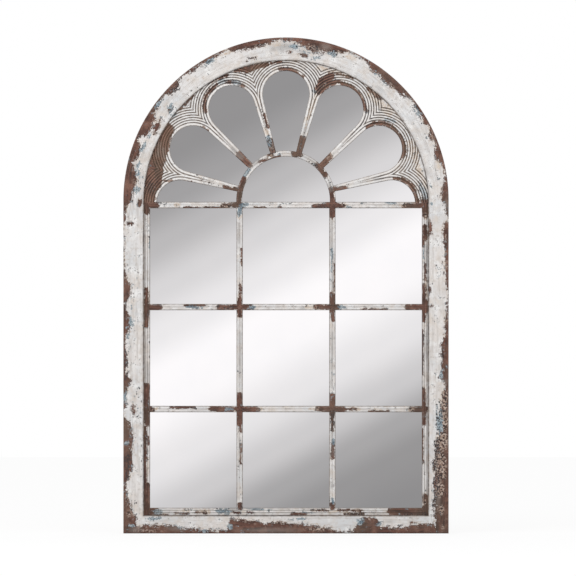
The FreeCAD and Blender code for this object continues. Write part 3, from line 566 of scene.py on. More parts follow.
# ------------------------------------------------------------------ node trees
class Nodes:
    """Short hand for filling a node tree."""

    def __init__(self, tree):
        self.tree = tree
        tree.nodes.clear()

    def add(self, kind, settings=None, **inputs):
        """Node with its settings and inputs; an underscore stands for a space in an input's name."""
        node = self.tree.nodes.new(kind)
        for key, value in (settings or {}).items():
            setattr(node, key, value)
        for key, value in inputs.items():
            self.feed(node.inputs[key.replace("_", " ")], value)
        return node

    def feed(self, socket, value):
        """Links an input to another node's output, or sets its own value."""
        if isinstance(value, bpy.types.NodeSocket):
            self.tree.links.new(value, socket)
        else:
            socket.default_value = value

    def in_order(self, kind, settings, *values):
        """Node whose first inputs take these values in their order."""
        node = self.add(kind, settings)
        for socket, value in zip(node.inputs, values):
            self.feed(socket, value)
        return node

    def math(self, operation, a, b):
        return self.in_order("ShaderNodeMath", {"operation": operation}, a, b).outputs[0]

    def times(self, a, b):
        return self.math("MULTIPLY", a, b)

    def plus(self, a, b):
        return self.math("ADD", a, b)

    def centred(self, noise, weight):
        """Noise about zero instead of a half, times its weight."""
        return self.times(self.math("SUBTRACT", noise, 0.5), weight)

    def mix(self, factor, a, b):
        """Colour mixed from a to b."""
        node = self.add("ShaderNodeMix", {"data_type": "RGBA"}, Factor=factor)
        for key, value in (("A", a), ("B", b)):
            socket = next(i for i in node.inputs if i.name == key and i.type == "RGBA")
            self.feed(socket, value if isinstance(value, bpy.types.NodeSocket) else (*value, 1))
        return next(o for o in node.outputs if o.type == "RGBA")

    def ramp(self, value, low, high, out_low=0.0, out_high=1.0):
        """Value mapped from one range to another, clamped."""
        node = self.add("ShaderNodeMapRange", Value=value, From_Min=low, From_Max=high, To_Min=out_low,
                        To_Max=out_high)
        return node.outputs["Result"]

    def coats(self, colour, *thin):
        """Colour under thin coats: for each a noise, the range where it comes in, its strength and colour."""
        for noise, low, high, strength, coat in thin:
            colour = self.mix(self.ramp(noise, low, high, 0.0, strength), colour, coat)
        return colour

    def place(self):
        """Place on the object, in metres."""
        return self.add("ShaderNodeTexCoord").outputs["Object"]

    def stored(self, name, output="Fac"):
        """Value that the mesh stores for its vertices."""
        return self.add("ShaderNodeAttribute", {"attribute_name": name}).outputs[output]

    def noise(self, vector, scale, detail=4.0, roughness=0.55, distortion=0.0):
        node = self.add("ShaderNodeTexNoise", Vector=vector, Scale=scale, Detail=detail, Roughness=roughness,
                        Distortion=distortion)
        return node.outputs["Fac"]

    def surface(self, colour, roughness, bump=None, **inputs):
        """Surface shader; bump holds its strength, its distance and its height."""
        if bump:
            strength, distance, height = bump
            raised = self.add("ShaderNodeBump", Strength=strength, Distance=distance, Height=height)
            inputs["Normal"] = raised.outputs[0]
        node = self.add("ShaderNodeBsdfPrincipled", Base_Color=colour, Roughness=roughness, **inputs)
        return node.outputs[0]


def material(build):
    """Turns a function that builds a surface into one that gives the material of its name, made once."""

    def once():
        name = build.__name__
        if name not in bpy.data.materials:
            made = bpy.data.materials.new(name)
            made.use_nodes = True
            n = Nodes(made.node_tree)
            n.add("ShaderNodeOutputMaterial", Surface=build(n))
        return bpy.data.materials[name]

    return once


def geometry_tree(name, sockets, build):
    """Geometry node tree with a geometry input, named ones and the finish, made once."""
    if name not in bpy.data.node_groups:
        tree = bpy.data.node_groups.new(name, "GeometryNodeTree")
        for label, kind in (("Geometry", "Geometry"), *sockets, ("Finish", "Material")):
            tree.interface.new_socket(label, in_out="INPUT", socket_type="NodeSocket" + kind)
        tree.interface.new_socket("Geometry", in_out="OUTPUT", socket_type="NodeSocketGeometry")
        n = Nodes(tree)
        given = n.add("NodeGroupInput").outputs
        solid = n.add("GeometryNodeRealizeInstances", Geometry=build(n, given))
        coated = n.add("GeometryNodeSetMaterial", Geometry=solid.outputs[0], Material=given["Finish"])
        n.add("NodeGroupOutput", Geometry=coated.outputs[0])
    return bpy.data.node_groups[name]


def moulding_tree():
    """A section swept along a path that lies in the plane of the mirror."""

    def build(n, given):
        even = n.add("GeometryNodeResampleCurve", {"mode": "LENGTH"}, Curve=given["Geometry"],
                     Length=given["Spacing"])
        facing = n.add("GeometryNodeSetCurveNormal", {"mode": "FREE"}, Curve=even.outputs[0],
                       Normal=(0, -1, 0))
        section = n.add("GeometryNodeObjectInfo", Object=given["Section"])
        sweep = n.add("GeometryNodeCurveToMesh", Curve=facing.outputs[0], Fill_Caps=True,
                      Profile_Curve=section.outputs["Geometry"])
        return sweep.outputs[0]

    return geometry_tree("Moulding along a path", (("Section", "Object"), ("Spacing", "Float")), build)


def screw_tree():
    """Screws on the points of a guide mesh, all turned by chance about their own axis."""

    def build(n, given):
        screw = n.add("GeometryNodeObjectInfo", Object=given["Screw"])
        turn = n.add("FunctionNodeRandomValue", Max=math.tau, Seed=given["Seed"])
        spin = n.add("ShaderNodeCombineXYZ", Y=turn.outputs["Value"])
        placed = n.add("GeometryNodeInstanceOnPoints", Points=given["Geometry"],
                       Instance=screw.outputs["Geometry"], Rotation=spin.outputs[0])
        return placed.outputs[0]

    return geometry_tree("Screws on points", (("Screw", "Object"), ("Seed", "Int")), build)


def grow(guide, tree, values):
    """Plain mesh made by a node tree from a guide object, which goes afterwards."""
    modifier = guide.modifiers.new("grow", "NODES")
    modifier.node_group = tree
    identifiers = {item.name: item.identifier for item in tree.interface.items_tree if item.in_out == "INPUT"}
    for label, value in values.items():
        modifier[identifiers[label]] = value
    bpy.context.view_layer.update()
    depsgraph = bpy.context.evaluated_depsgraph_get()
    mesh = bpy.data.meshes.new_from_object(guide.evaluated_get(depsgraph))
    guide.modifiers.remove(modifier)
    bpy.data.objects.remove(guide)
    return mesh


def make_curve(name, points, closed=False):
    curve = bpy.data.curves.new(name, "CURVE")
    curve.dimensions = "3D"
    spline = curve.splines.new("POLY")
    spline.points.add(len(points) - 1)
    for target, point in zip(spline.points, points):
        target.co = (*point, 1)
    spline.use_cyclic_u = closed
    return new_object(name, curve)


# ------------------------------------------------------------------ band
COVE_CURVE = 0.79           # radius of the cove's curve against its width
BAND_DIRT_AND_SHADE = 0.0030          # width of the dirt and painted shade along the band's inner line
# Degrees from upright at which each segment of the arch starts, and how many it takes up.
ARCH_STARTS, ARCH_TURN = {"left_lower": -90, "left_upper": -45, "right_upper": 0, "right_lower": 45}, 45


def band_front(x, z):
    """Depth of the band's front: rounded outer edge, flat face, cove."""
    s = sizes()
    out = np.clip(outer_depth(x, z), 0, s.edge_round)
    rounded = s.edge_round - np.sqrt(np.maximum(s.edge_round ** 2 - (s.edge_round - out) ** 2, 0))
    inward = np.clip(s.cove - sight_growth(x, z), 0, s.cove)
    curve = s.cove * COVE_CURVE
    hollow = np.where(inward > 0, s.cove - curve + np.sqrt(
        np.maximum(curve ** 2 - np.clip(curve - inward, 0, curve) ** 2, 0)), 0)
    return s.face + np.maximum(rounded, np.minimum(hollow, s.cove))


def band_back(x, z):
    """Depth of the band's back: the lip over the sash, the board's rebate, and the back itself."""
    s = sizes()
    grown = sight_growth(x, z)
    return np.where(grown < SASH_REBATE, s.ledge, np.where(grown < BOARD_REBATE, GLASS_BOX[1].y, s.back))


def band_grain(piece):
    """How far along and across the grain a point lies, for a straight or a curved length."""
    if piece == "frame_bottom_rail":
        return lambda co: (co[:, 0] + BAND_RAIL_SHIFT, co[:, 2])
    return lambda co: arch_place(co[:, 0], co[:, 2])


def band_relief(co):
    """Dirt and painted shade in the cove and on the lip under it."""
    grown = sight_growth(co[:, 0], co[:, 2])
    near = (grown > -0.001) & (co[:, 1] < sizes().ledge + 1e-4)
    return np.where(near, np.clip(1.25 - grown / BAND_DIRT_AND_SHADE, 0, 1), 0)


def step_stations(edge):
    """Two stations a hair apart, for a step in depth."""
    return (edge - 2e-5, edge + 2e-5)


def band_mesh(piece):
    """One length of the outer band."""
    s = sizes()
    rounding = np.array([0, 0.0004, 0.0012, 0.0025, 0.004, s.edge_round])
    hollow = np.array([0.0, 0.0005, 0.001, 0.0016, 0.0022, 0.0027, s.cove])
    steps = (*step_stations(SASH_REBATE), *step_stations(BOARD_REBATE))

    def bends(width):
        """Where the section bends, away from the outer edge."""
        return [*rounding, *(width - hollow), *(width - e for e in steps)]

    if piece == "frame_bottom_rail":
        u = stations(-s.sight_half, s.sight_half, s.spacing)
        v = stations(0, s.sight_bottom, ACROSS, bends(s.sight_bottom))
        x, z = np.meshgrid(u, v, indexing="ij")
    elif "stile" in piece:
        side = -1 if piece.endswith("left") else 1
        width = s.half_width - s.sight_half
        u = stations(0, s.spring, s.spacing, bends(s.sight_bottom))
        v = stations(0, width, ACROSS, bends(width))
        z, depth = np.meshgrid(u, v, indexing="ij")
        # above the inner round's spring the inner line bends in a little
        bend = s.sight_half - np.sqrt(s.sight_half ** 2 - np.maximum(z - s.sight_spring, 0) ** 2)
        x = side * (s.half_width - depth - bend * depth / width)
    else:
        start = ARCH_STARTS[piece.removeprefix("frame_arch_")]
        u = np.radians(stations(start, start + ARCH_TURN, math.degrees(s.spacing / s.half_width)))
        drop = s.spring - s.sight_spring
        cosine = np.cos(u)
        reach = -drop * cosine + np.sqrt(s.sight_half ** 2 - (drop * np.sin(u)) ** 2)
        width = (s.half_width - reach)[:, None]
        tail = np.array([*hollow, *steps, PAST_REBATES])[::-1]
        share = np.linspace(0, 1, 15)[None, 1:-1]
        first, last = rounding[-1], width - tail[0]
        radial = np.concatenate([np.tile(rounding, (len(u), 1)), first + (last - first) * share,
                                 width - tail[None, :]], axis=1)
        radius = s.half_width - radial
        x, z = radius * np.sin(u)[:, None], s.spring + radius * cosine[:, None]
    return close_mesh(slab(x, z, band_front(x, z), band_back(x, z), rows=5), piece)


class MIRROR_OT_band(bpy.types.Operator):
    """Make the seven lengths of the outer band"""

    bl_idname = "window_mirror.band"
    bl_label = "Outer band"

    def execute(self, context):
        for node in FRAME_NODES:
            mesh = band_mesh(node)
            dress(mesh, "band", band_grain(node), band_relief)
            add_painted("band_" + node.removeprefix("frame_"), mesh, node)
        return {"FINISHED"}


# ------------------------------------------------------------------ sash
# Stations across a sash strip, away from the pane, for its slope, its two beads and its flat.
REED_STATIONS = (0, 0.0005, 0.0015, 0.0018, 0.0026, 0.0042, 0.0058, 0.0066, 0.007, 0.0078, 0.0085, 0.0088,
                 0.0096, 0.0112, 0.0128, 0.0136, 0.014, 0.0155, 0.0175)
RAIL_STATION = 0.020        # one more on the rail, which is wider

# Dirt and painted shade on a sash strip: where it sits, away from the pane, how wide and how strong; then
# along the band.
STRIP_DIRT_AND_SHADE = ((0.0, 0.0018, 0.9), (0.0077, 0.0013, 0.55), (0.0152, 0.0014, 0.6))
SEAM_DIRT_AND_SHADE = (0.0026, 0.95)


def reeded(distance):
    """Front depth of a sash strip at a distance from the pane: slope, two beads, flat."""
    low = sizes().sash_face + SINK
    slope = BEADS[0][0]
    height = np.where(distance < slope, low + SLOPE * (1 - distance / slope), low)
    for start, end in BEADS:
        t = (distance - start) / (end - start)
        rise = np.sqrt(np.maximum(1 - (2 * t - 1) ** 2, 0))
        height = np.where((t > 0) & (t < 1), low - SINK * rise, height)
    return height


def strip_relief(pane_edge, width):
    """Dirt and painted shade sit between the beads, beside the pane and in the seam along the band."""

    def relief(co):
        t = pane_edge(co)
        return np.maximum.reduce([np.clip(1.2 - np.abs(t - at) / wide, 0, 1) * strength
                                  for at, wide, strength in (*STRIP_DIRT_AND_SHADE, (width, *SEAM_DIRT_AND_SHADE))])

    return relief


class MIRROR_OT_sash(bpy.types.Operator):
    """Make the sash stiles and the sash rail with their two beads"""

    bl_idname = "window_mirror.sash"
    bl_label = "Sash strips"

    def execute(self, context):
        s = sizes()
        opening = s.sight_half - s.strip
        seam = s.sight_bottom + PLAY
        for side, sign in (("left", -1), ("right", 1)):
            node = "sash_stile_" + side
            up = stations(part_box(node)[0].z, TRANSOM_BOX[1].z, s.spacing, step_stations(seam))
            across = [*REED_STATIONS, *step_stations(s.strip - PLAY), s.strip + TONGUE]
            z, distance = np.meshgrid(up, across, indexing="ij")
            front = np.where((distance > s.strip - PLAY) | (z < seam), s.ledge, reeded(distance))
            self.place(node, sign * (opening + distance), z, front,
                       lambda co: (co[:, 2] + STILE_SHIFT, co[:, 0]),
                       strip_relief(lambda co: np.abs(co[:, 0]) - opening, s.strip))
        width, reach = RAIL_TOP - s.sight_bottom, opening + COPE
        across = [*REED_STATIONS, RAIL_STATION, *step_stations(width - PLAY), width + TONGUE]
        x, distance = np.meshgrid(stations(-reach, reach, s.spacing), across, indexing="ij")
        front = np.where(distance > width - PLAY, s.ledge, reeded(distance))
        self.place("sash_bottom_rail", x, RAIL_TOP - distance, front,
                   lambda co: (co[:, 0] + SASH_RAIL_SHIFT, co[:, 2]),
                   strip_relief(lambda co: RAIL_TOP - co[:, 2], width))
        return {"FINISHED"}

    @staticmethod
    def place(node, x, z, front, grain, relief):
        mesh = close_mesh(slab(x, z, front, np.full(z.shape, sizes().glass)), node)
        dress(mesh, "field", grain, relief)
        add_painted("moulded_" + node, mesh, node)


# ------------------------------------------------------------------ glazing bars and hub arch
def bar_section():
    """Half widths and heights of a bar's section: upright side, rounded shoulder, flat, shallow flute."""
    s = sizes()
    half, flat, shoulder = s.bar / 2, 0.006, -0.0095
    flute, hollow = 0.0022, 0.0014
    wide, high = half - flat, shoulder - s.sash_face
    radius = (wide ** 2 + high ** 2) / (2 * wide)
    turn = math.asin(high / radius)
    points = [(half, s.glass), (half, -0.003)]
    for i in range(7):
        angle = turn * i / 6
        points.append((half - radius * (1 - math.cos(angle)), shoulder - radius * math.sin(angle)))
    points += [(0.0042, s.sash_face), (0.0026, s.sash_face + 0.0001)]
    points += [(flute * math.cos(a), s.sash_face + hollow * math.sin(a)) for a in (0.5, 0.95, math.pi / 2)]
    return points + [(-x, y) for x, y in reversed(points[:-1])]


def swept(name, path, section, coat, spacing):
    """Closed moulding of a section along a path; section points are (sideways, depth)."""
    profile = make_curve(name + "_section", [(-y, x, 0) for x, y in section], closed=True)
    guide = make_curve(name + "_path", path)
    mesh = grow(guide, moulding_tree(), {"Section": profile, "Spacing": spacing, "Finish": coat})
    bpy.data.objects.remove(profile)
    bm = bmesh.new()
    bm.from_mesh(mesh)
    bpy.data.meshes.remove(mesh)
    return close_mesh(bm, name)


def bar_relief(distance):
    """Dirt and painted shade on a bar's sides, and a little in its flute."""
    side_starts, side_full = 0.0072, 0.0024
    flute, faint = 0.0026, 0.30

    def relief(co):
        t = np.abs(distance(co))
        side = np.clip((t - side_starts) / side_full, 0, 1)
        return np.maximum(side, np.clip(1 - t / flute, 0, 1) * faint)

    return relief


class MIRROR_OT_bars(bpy.types.Operator):
    """Sweep the transom, the posts, the cross bars and the half-round hub arch"""

    bl_idname = "window_mirror.bars"
    bl_label = "Glazing bars"

    def execute(self, context):
        s = sizes()
        section = bar_section()
        reach = s.sight_half - s.strip + COPE
        for node in ("sash_transom", "muntin_bar_lower", "muntin_bar_upper"):
            low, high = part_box(node)
            level = (low.z + high.z) / 2
            self.place(node, [(-reach, 0, level), (reach, 0, level)], section, lambda co: co[:, 2] - level,
                       lambda co: (co[:, 0] + level * BAR_SHIFT, co[:, 2]))
        foot, head = RAIL_TOP - COPE, TRANSOM_BOX[0].z + COPE
        for node in ("muntin_post_left", "muntin_post_right"):
            low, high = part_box(node)
            middle = (low.x + high.x) / 2
            self.place(node, [(middle, 0, foot), (middle, 0, head)], section, lambda co: co[:, 0] - middle,
                       lambda co: (co[:, 2] + middle * POST_SHIFT, co[:, 0]))
        self.hub_arch([(x * HUB_NARROWING, y) for x, y in section])
        return {"FINISHED"}

    def hub_arch(self, section):
        outer = HUB_BOX[1].x
        middle, centre = outer - HUB_MIDDLE, HUB_BOX[1].z - outer
        feet = TRANSOM_BOX[1].z - COPE
        arc = [(middle * math.sin(a), 0, centre + middle * math.cos(a))
               for a in np.radians(np.linspace(-90, 90, 181))]

        def radius(co):
            return np.hypot(co[:, 0], co[:, 2] - centre)

        def off_middle(co):
            return np.where(co[:, 2] > centre, radius(co), np.abs(co[:, 0])) - middle

        def grain(co):
            angle = np.arctan2(co[:, 0], np.maximum(co[:, 2] - centre, 0.001))
            return angle * middle + HUB_SHIFT, radius(co)

        self.place("fan_hub_arch", [(-middle, 0, feet), *arc, (middle, 0, feet)], section, off_middle, grain)

    @staticmethod
    def place(node, path, section, distance, grain):
        mesh = swept("bar_" + node, path, section, weathered_paint(), sizes().spacing)
        dress(mesh, "field", grain, bar_relief(distance))
        add_painted("bar_" + node, mesh, node)


# ------------------------------------------------------------------ carved ribs
# Stations away from a petal's edge up to the first carved line, shares of a pitch from then on, and the
# farthest of all.
REED_OFFSETS = (0, 0.0006, 0.0014, 0.0026, 0.0045, 0.0065, 0.008, 0.0088, 0.0096)
REED_PHASES = (0, 0.05, 0.12, 0.25, 0.5, 0.75, 0.88, 0.95)
FARTHEST = 0.078
CREST_SPACING = 0.0022      # distance between two stations round a petal's end
# Round of the rib's rim beside a petal, and where its flat starts to fall to the first line.
RIM_ROUND, RIM_FALLS = 0.0040, 0.0062
# Distance from the fan's centre beyond which the lines deepen, how far they take for it, and the share of
# their full depth that they have at least.
DEEPEN_FROM, DEEPEN_OVER, FAINTEST = 0.20, 0.12, 0.22


def petal_side():
    """Slope of a petal's straight side, and its tangent point along and across the petal's axis."""
    s = sizes()
    half = s.petal_step / 2
    hub = HUB_BOX[1].x
    along = hub * math.cos(half) + RIB_HALF * math.sin(half)
    across = hub * math.sin(half) - RIB_HALF * math.cos(half)
    gap = math.hypot(s.petal_ring - along, across)
    slope = math.asin(s.petal_round / gap) - math.atan2(across, s.petal_ring - along)
    return slope, (s.petal_ring - s.petal_round * math.sin(slope), s.petal_round * math.cos(slope))


def carving_strength(radius):
    """How deep the lines are cut at a distance from the fan's centre: they run out softly towards the hub."""
    return np.clip((radius - DEEPEN_FROM) / DEEPEN_OVER, FAINTEST, 1)


def carved(offset, strength):
    """Height of the carving over its deepest level at a distance from the petal's edge, and its relief:
    painted shade with some glaze in the lines, a painted shadow along the edge, and a painted highlight on
    the crests.
    """
    pitch = sizes().reed
    cut = CUT * strength
    last = FIRST_LINE + LAST_LINE * pitch
    rim = np.clip(offset / RIM_ROUND, 0, 1)
    fall = np.clip((offset - RIM_FALLS) / (FIRST_LINE - RIM_FALLS), 0, 1)
    bead = RELIEF * np.sqrt(np.maximum(1 - (1 - rim) ** 2, 0)) - cut * fall ** 2
    phase = (offset - FIRST_LINE) / pitch
    ridge = np.abs(np.sin(math.pi * phase)) ** 0.6
    reeds = RELIEF - cut * (1 - ridge)
    height = np.where(offset < FIRST_LINE, bead, np.where(offset < last, reeds, RELIEF))
    lined = (offset > FIRST_LINE - 0.002) & (offset < last)
    # The lines get painted shade with some glaze in them, the petal's edge a painted shadow line, and the
    # crests a painted highlight, which is carried as less than none.
    groove = np.where(lined, np.clip((0.92 - ridge) / 0.30, 0, 1), 0)
    edge = np.clip(1.15 - offset / 0.0018, 0, 1) * 0.9
    crest_highlight = np.where(offset < FIRST_LINE, np.clip(1 - np.abs(offset - 0.0048) / 0.0022, 0, 1),
                     np.where(offset < last, np.clip((ridge - 0.88) / 0.1, 0, 1), 0))
    return height, np.maximum(groove * strength, edge) - 0.5 * crest_highlight * (0.3 + 0.7 * strength)


class MIRROR_OT_ribs(bpy.types.Operator):
    """Carve the six ribs of the fan, with lines that follow the petals"""

    bl_idname = "window_mirror.ribs"
    bl_label = "Carved ribs"

    def execute(self, context):
        for i in range(6):
            node = "fan_rib_%d" % (i + 1)
            add_painted("carved_rib_%d" % (i + 1), self.rib_mesh(node, (i - 2.5) * sizes().petal_step), node)
        return {"FINISHED"}

    @staticmethod
    def half_grid(turn_of_rib, side_of_rib):
        """Points and offsets of one half of a rib, drawn upright on its right side about the fan's centre."""
        s = sizes()
        slope, (tangent_u, tangent_v) = petal_side()
        turn = s.petal_step / 2
        axis = np.array([math.sin(turn), math.cos(turn)])
        aside = np.array([-math.cos(turn), math.sin(turn)])
        centre = axis * s.petal_ring
        limit = s.sight_half - PLAY
        drop = s.spring - s.sight_spring
        sight = np.array([side_of_rib * drop * math.sin(turn_of_rib), -drop * math.cos(turn_of_rib)])
        side = axis * math.cos(slope) + aside * math.sin(slope)
        normal = aside * math.cos(slope) - axis * math.sin(slope)
        tangent = axis * tangent_u + aside * tangent_v
        straight = (tangent_u - GRID_FOOT) / math.cos(slope)
        feet = [(tangent - side * (straight - t), normal) for t in stations(0, straight, ACROSS)[:-1]]
        for a in stations(0, math.pi / 2 + slope, CREST_SPACING / s.petal_round)[::-1]:
            way = axis * math.cos(a) + aside * math.sin(a)
            feet.append((centre + way * s.petal_round, way))
        lines = [FIRST_LINE + s.reed * (k + phase) for k in range(8) for phase in REED_PHASES]
        offsets = np.array([*REED_OFFSETS, *lines, FARTHEST])
        rows, used = [], []
        for foot, way in feet:
            reach = offsets[-1]
            if way[0] < -1e-6:
                reach = min(reach, foot[0] / -way[0])
            b = (foot - sight) @ way
            c = (foot - sight) @ (foot - sight) - limit ** 2
            reach = min(reach, -b + math.sqrt(max(b * b - c, 0)))
            d = np.minimum(offsets, reach)
            rows.append(foot[None, :] + way[None, :] * d[:, None])
            used.append(d)
        return np.array(rows), np.array(used)

    def rib_mesh(self, node, turn):
        s = sizes()
        whole = bmesh.new()
        for side in (1, -1):
            points, offsets = self.half_grid(turn, side)
            strength = carving_strength(np.hypot(points[..., 0], points[..., 1]))
            front = s.sash_face + RELIEF - carved(offsets, strength)[0]
            bm = slab(points[..., 0] * side, points[..., 1], front, np.full(front.shape, s.glass), rows=4)
            cut_below(bm, RIB_FOOT)
            bmesh.ops.rotate(bm, verts=bm.verts, cent=(0, 0, 0), matrix=Matrix.Rotation(turn, 3, "Y"))
            bmesh.ops.translate(bm, verts=bm.verts, vec=(0, 0, s.spring))
            cut_below(bm, TRANSOM_BOX[1].z - COPE)
            part = bpy.data.meshes.new("half")
            bm.to_mesh(part)
            bm.free()
            whole.from_mesh(part)
            bpy.data.meshes.remove(part)
        bmesh.ops.remove_doubles(whole, verts=whole.verts, dist=WELD)

        def local(x, z):
            """Place about the fan's centre, with the rib turned upright."""
            z = z - s.spring
            return x * math.cos(turn) - z * math.sin(turn), x * math.sin(turn) + z * math.cos(turn)

        inside = [f for f in whole.faces if all(abs(local(v.co.x, v.co.z)[0]) <= 3e-6 for v in f.verts)]
        bmesh.ops.delete(whole, geom=inside, context="FACES")
        mesh = close_mesh(whole, node, sharp=math.radians(50))

        def petal_offset(x, z):
            """Distance from the edge of the nearest petal."""
            x = np.abs(x)
            slope, (tangent_u, tangent_v) = petal_side()
            half = s.petal_step / 2
            u = x * math.sin(half) + z * math.cos(half)
            v = -x * math.cos(half) + z * math.sin(half)
            straight = (v - tangent_v) * math.cos(slope) + (tangent_u - u) * math.sin(slope)
            along = (u - tangent_u) * math.cos(slope) + (v - tangent_v) * math.sin(slope)
            return np.where(along > 0, np.hypot(u - s.petal_ring, v) - s.petal_round, straight)

        def relief(co):
            """Dirt and painted shade in the hollows, and less than none on the crests, where a highlight is
            painted on the coat.
            """
            x, z = local(co[:, 0], co[:, 2])
            shade_and_dirt = carved(np.maximum(petal_offset(x, z), 0), carving_strength(np.hypot(x, z)))[1]
            # Behind the band's lip, the rib's sides and back get painted shade all over.
            return np.where(co[:, 1] < s.ledge, shade_and_dirt, 0.9)

        def grain(co):
            x, z = local(co[:, 0], co[:, 2])
            return z + turn * RIB_SHIFT, x

        dress(mesh, "field", grain, relief)
        return mesh


# ------------------------------------------------------------------ what keeps the frame's own shape
class MIRROR_OT_sheet(bpy.types.Operator):
    """Silver the mirror sheet and finish the back board, the dowels, the straps and the bumpers"""

    bl_idname = "window_mirror.sheet"
    bl_label = "Mirror sheet and back board"

    def execute(self, context):
        for node, coat in (("mirror_glass", silvering), ("back_board", pressed_board),
                           ("frame_dowels", dowel_beech), ("fan_dowels", dowel_beech),
                           ("hanger_strap_left", zinc_plate), ("hanger_strap_right", zinc_plate),
                           ("wall_bumpers", bumper_rubber)):
            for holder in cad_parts[node].material_slots:
                holder.material = coat()
        return {"FINISHED"}


# ------------------------------------------------------------------ fixings
def around(loop):
    """Each item of a closed loop with the next one."""
    return zip(loop, [*loop[1:], loop[0]])


def screw_mesh(head_radius, head_height, shank_radius, shank_length, slot):
    """One pan-head screw with a cross recess, its head's underside at the origin and facing +Y."""
    rings = [(shank_radius * 0.4, -shank_length), (shank_radius, -shank_length * 0.8), (shank_radius, 0.0),
             (head_radius, 0.0), (head_radius, head_height * 0.5)]
    rings += [(head_radius * (0.72 + 0.28 * math.cos(a)), head_height * (0.5 + 0.5 * math.sin(a)))
              for a in (0.4, 0.8, 1.2, math.pi / 2)]
    arm, deep, taper = head_radius * 0.62, head_height * 0.55, 0.8
    steps = 32
    bm = bmesh.new()
    loops = [[bm.verts.new((radius * math.cos(a), y, radius * math.sin(a)))
              for a in (math.tau * i / steps for i in range(steps))] for radius, y in rings]
    tip = bm.verts.new((0, -shank_length, 0))
    cross = [(arm, -slot), (arm, slot), (slot, slot), (slot, arm), (-slot, arm), (-slot, slot),
             (-arm, slot), (-arm, -slot), (-slot, -slot), (-slot, -arm), (slot, -arm), (slot, -slot)]
    for lower, upper in zip(loops[:-1], loops[1:]):
        for (a, b), (c, d) in zip(around(lower), around(upper)):
            bm.faces.new((a, b, d, c))
    for a, b in around(loops[0]):
        bm.faces.new((tip, b, a))
    rim = [bm.verts.new((x, head_height, z)) for x, z in cross]
    floor = [bm.verts.new((x * taper, head_height - deep, z * taper)) for x, z in cross]
    for (a, b), (c, d) in zip(around(rim), around(floor)):
        bm.faces.new((a, b, d, c))
    bm.faces.new(floor)
    edges = [bm.edges.get(pair) for pair in (*around(loops[-1]), *around(rim))]
    bmesh.ops.triangle_fill(bm, use_beauty=True, use_dissolve=False, edges=edges)
    return close_mesh(bm, "screw")


class MIRROR_OT_screws(bpy.types.Operator):
    """Set the screws of the back board and of the hangers"""

    bl_idname = "window_mirror.screws"
    bl_label = "Screws"

    def execute(self, context):
        for node, head_radius, head_height, radius, slot in (
                ("back_board_screws", 0.0035, 0.0020, 0.0015, 0.0005),
                ("hanger_screws", 0.0040, 0.0022, 0.00175, 0.0006)):
            places, shank = self.places(node, head_height)
            points = bpy.data.meshes.new(node + "_points")
            points.from_pydata(places, [], [])
            guide = new_object(node + "_points", points)
            one = new_object("one_screw", screw_mesh(head_radius, head_height, radius, shank, slot))
            mesh = grow(guide, screw_tree(), {"Screw": one, "Seed": finish().seed, "Finish": zinc_plate()})
            bpy.data.objects.remove(one)
            add_piece(node.replace("_screws", "_screw_set"), mesh, node)
        return {"FINISHED"}

    @staticmethod
    def places(node, head_height):
        """Middles of the undersides of the heads, from the frame's own screws, and the shanks' length."""
        bm = bmesh.new()
        bm.from_mesh(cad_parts[node].data)
        bmesh.ops.remove_doubles(bm, verts=bm.verts, dist=1e-6)
        seen, places = set(), []
        shank = 0.0
        for start in bm.verts:
            if start in seen:
                continue
            group, heap = [], [start]
            seen.add(start)
            while heap:
                v = heap.pop()
                group.append(v.co.copy())
                for e in v.link_edges:
                    other = e.other_vert(v)
                    if other not in seen:
                        seen.add(other)
                        heap.append(other)
            low = Vector(min(c[k] for c in group) for k in range(3))
            high = Vector(max(c[k] for c in group) for k in range(3))
            places.append(((low.x + high.x) / 2, high.y - head_height, (low.z + high.z) / 2))
            shank = max(shank, high.y - head_height - low.y)
        bm.free()
        return places, shank


class MIRROR_OT_rings(bpy.types.Operator):
    """Bend the two D rings of the hangers"""

    bl_idname = "window_mirror.rings"
    bl_label = "Hanger rings"

    def execute(self, context):
        corner, straight, spacing = 0.003, 0.006, 0.0009
        for name in ("left", "right"):
            node = "hanger_ring_" + name
            low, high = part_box(node)
            wire = (high.y - low.y) / 2
            middle_x, middle_y = (low.x + high.x) / 2, (low.y + high.y) / 2
            half = (high.x - low.x) / 2 - wire
            top = high.z - wire
            quarter, bow = np.radians(np.linspace(0, 90, 7)), np.radians(np.linspace(0, 180, 33))
            points = [(-half + corner, 0)]
            points += [(half - corner + corner * math.sin(a), -corner + corner * math.cos(a))
                       for a in quarter]
            points += [(half * math.cos(a), -straight - half * math.sin(a)) for a in bow]
            points += [(-half + corner - corner * math.cos(a), -corner + corner * math.sin(a))
                       for a in quarter[:-1]]
            path = [(middle_x + x, middle_y, top + z) for x, z in points]
            guide = make_curve("ring_path", path, closed=True)
            circle = [(wire * math.sin(a), wire * math.cos(a), 0) for a in np.linspace(0, math.tau, 17)[:-1]]
            profile = make_curve("wire_section", circle, closed=True)
            mesh = grow(guide, moulding_tree(),
                        {"Section": profile, "Spacing": spacing, "Finish": zinc_plate()})
            bpy.data.objects.remove(profile)
            mesh.shade_smooth()
            add_piece("wire_ring_" + name, mesh, node, "ring_" + name)
        return {"FINISHED"}


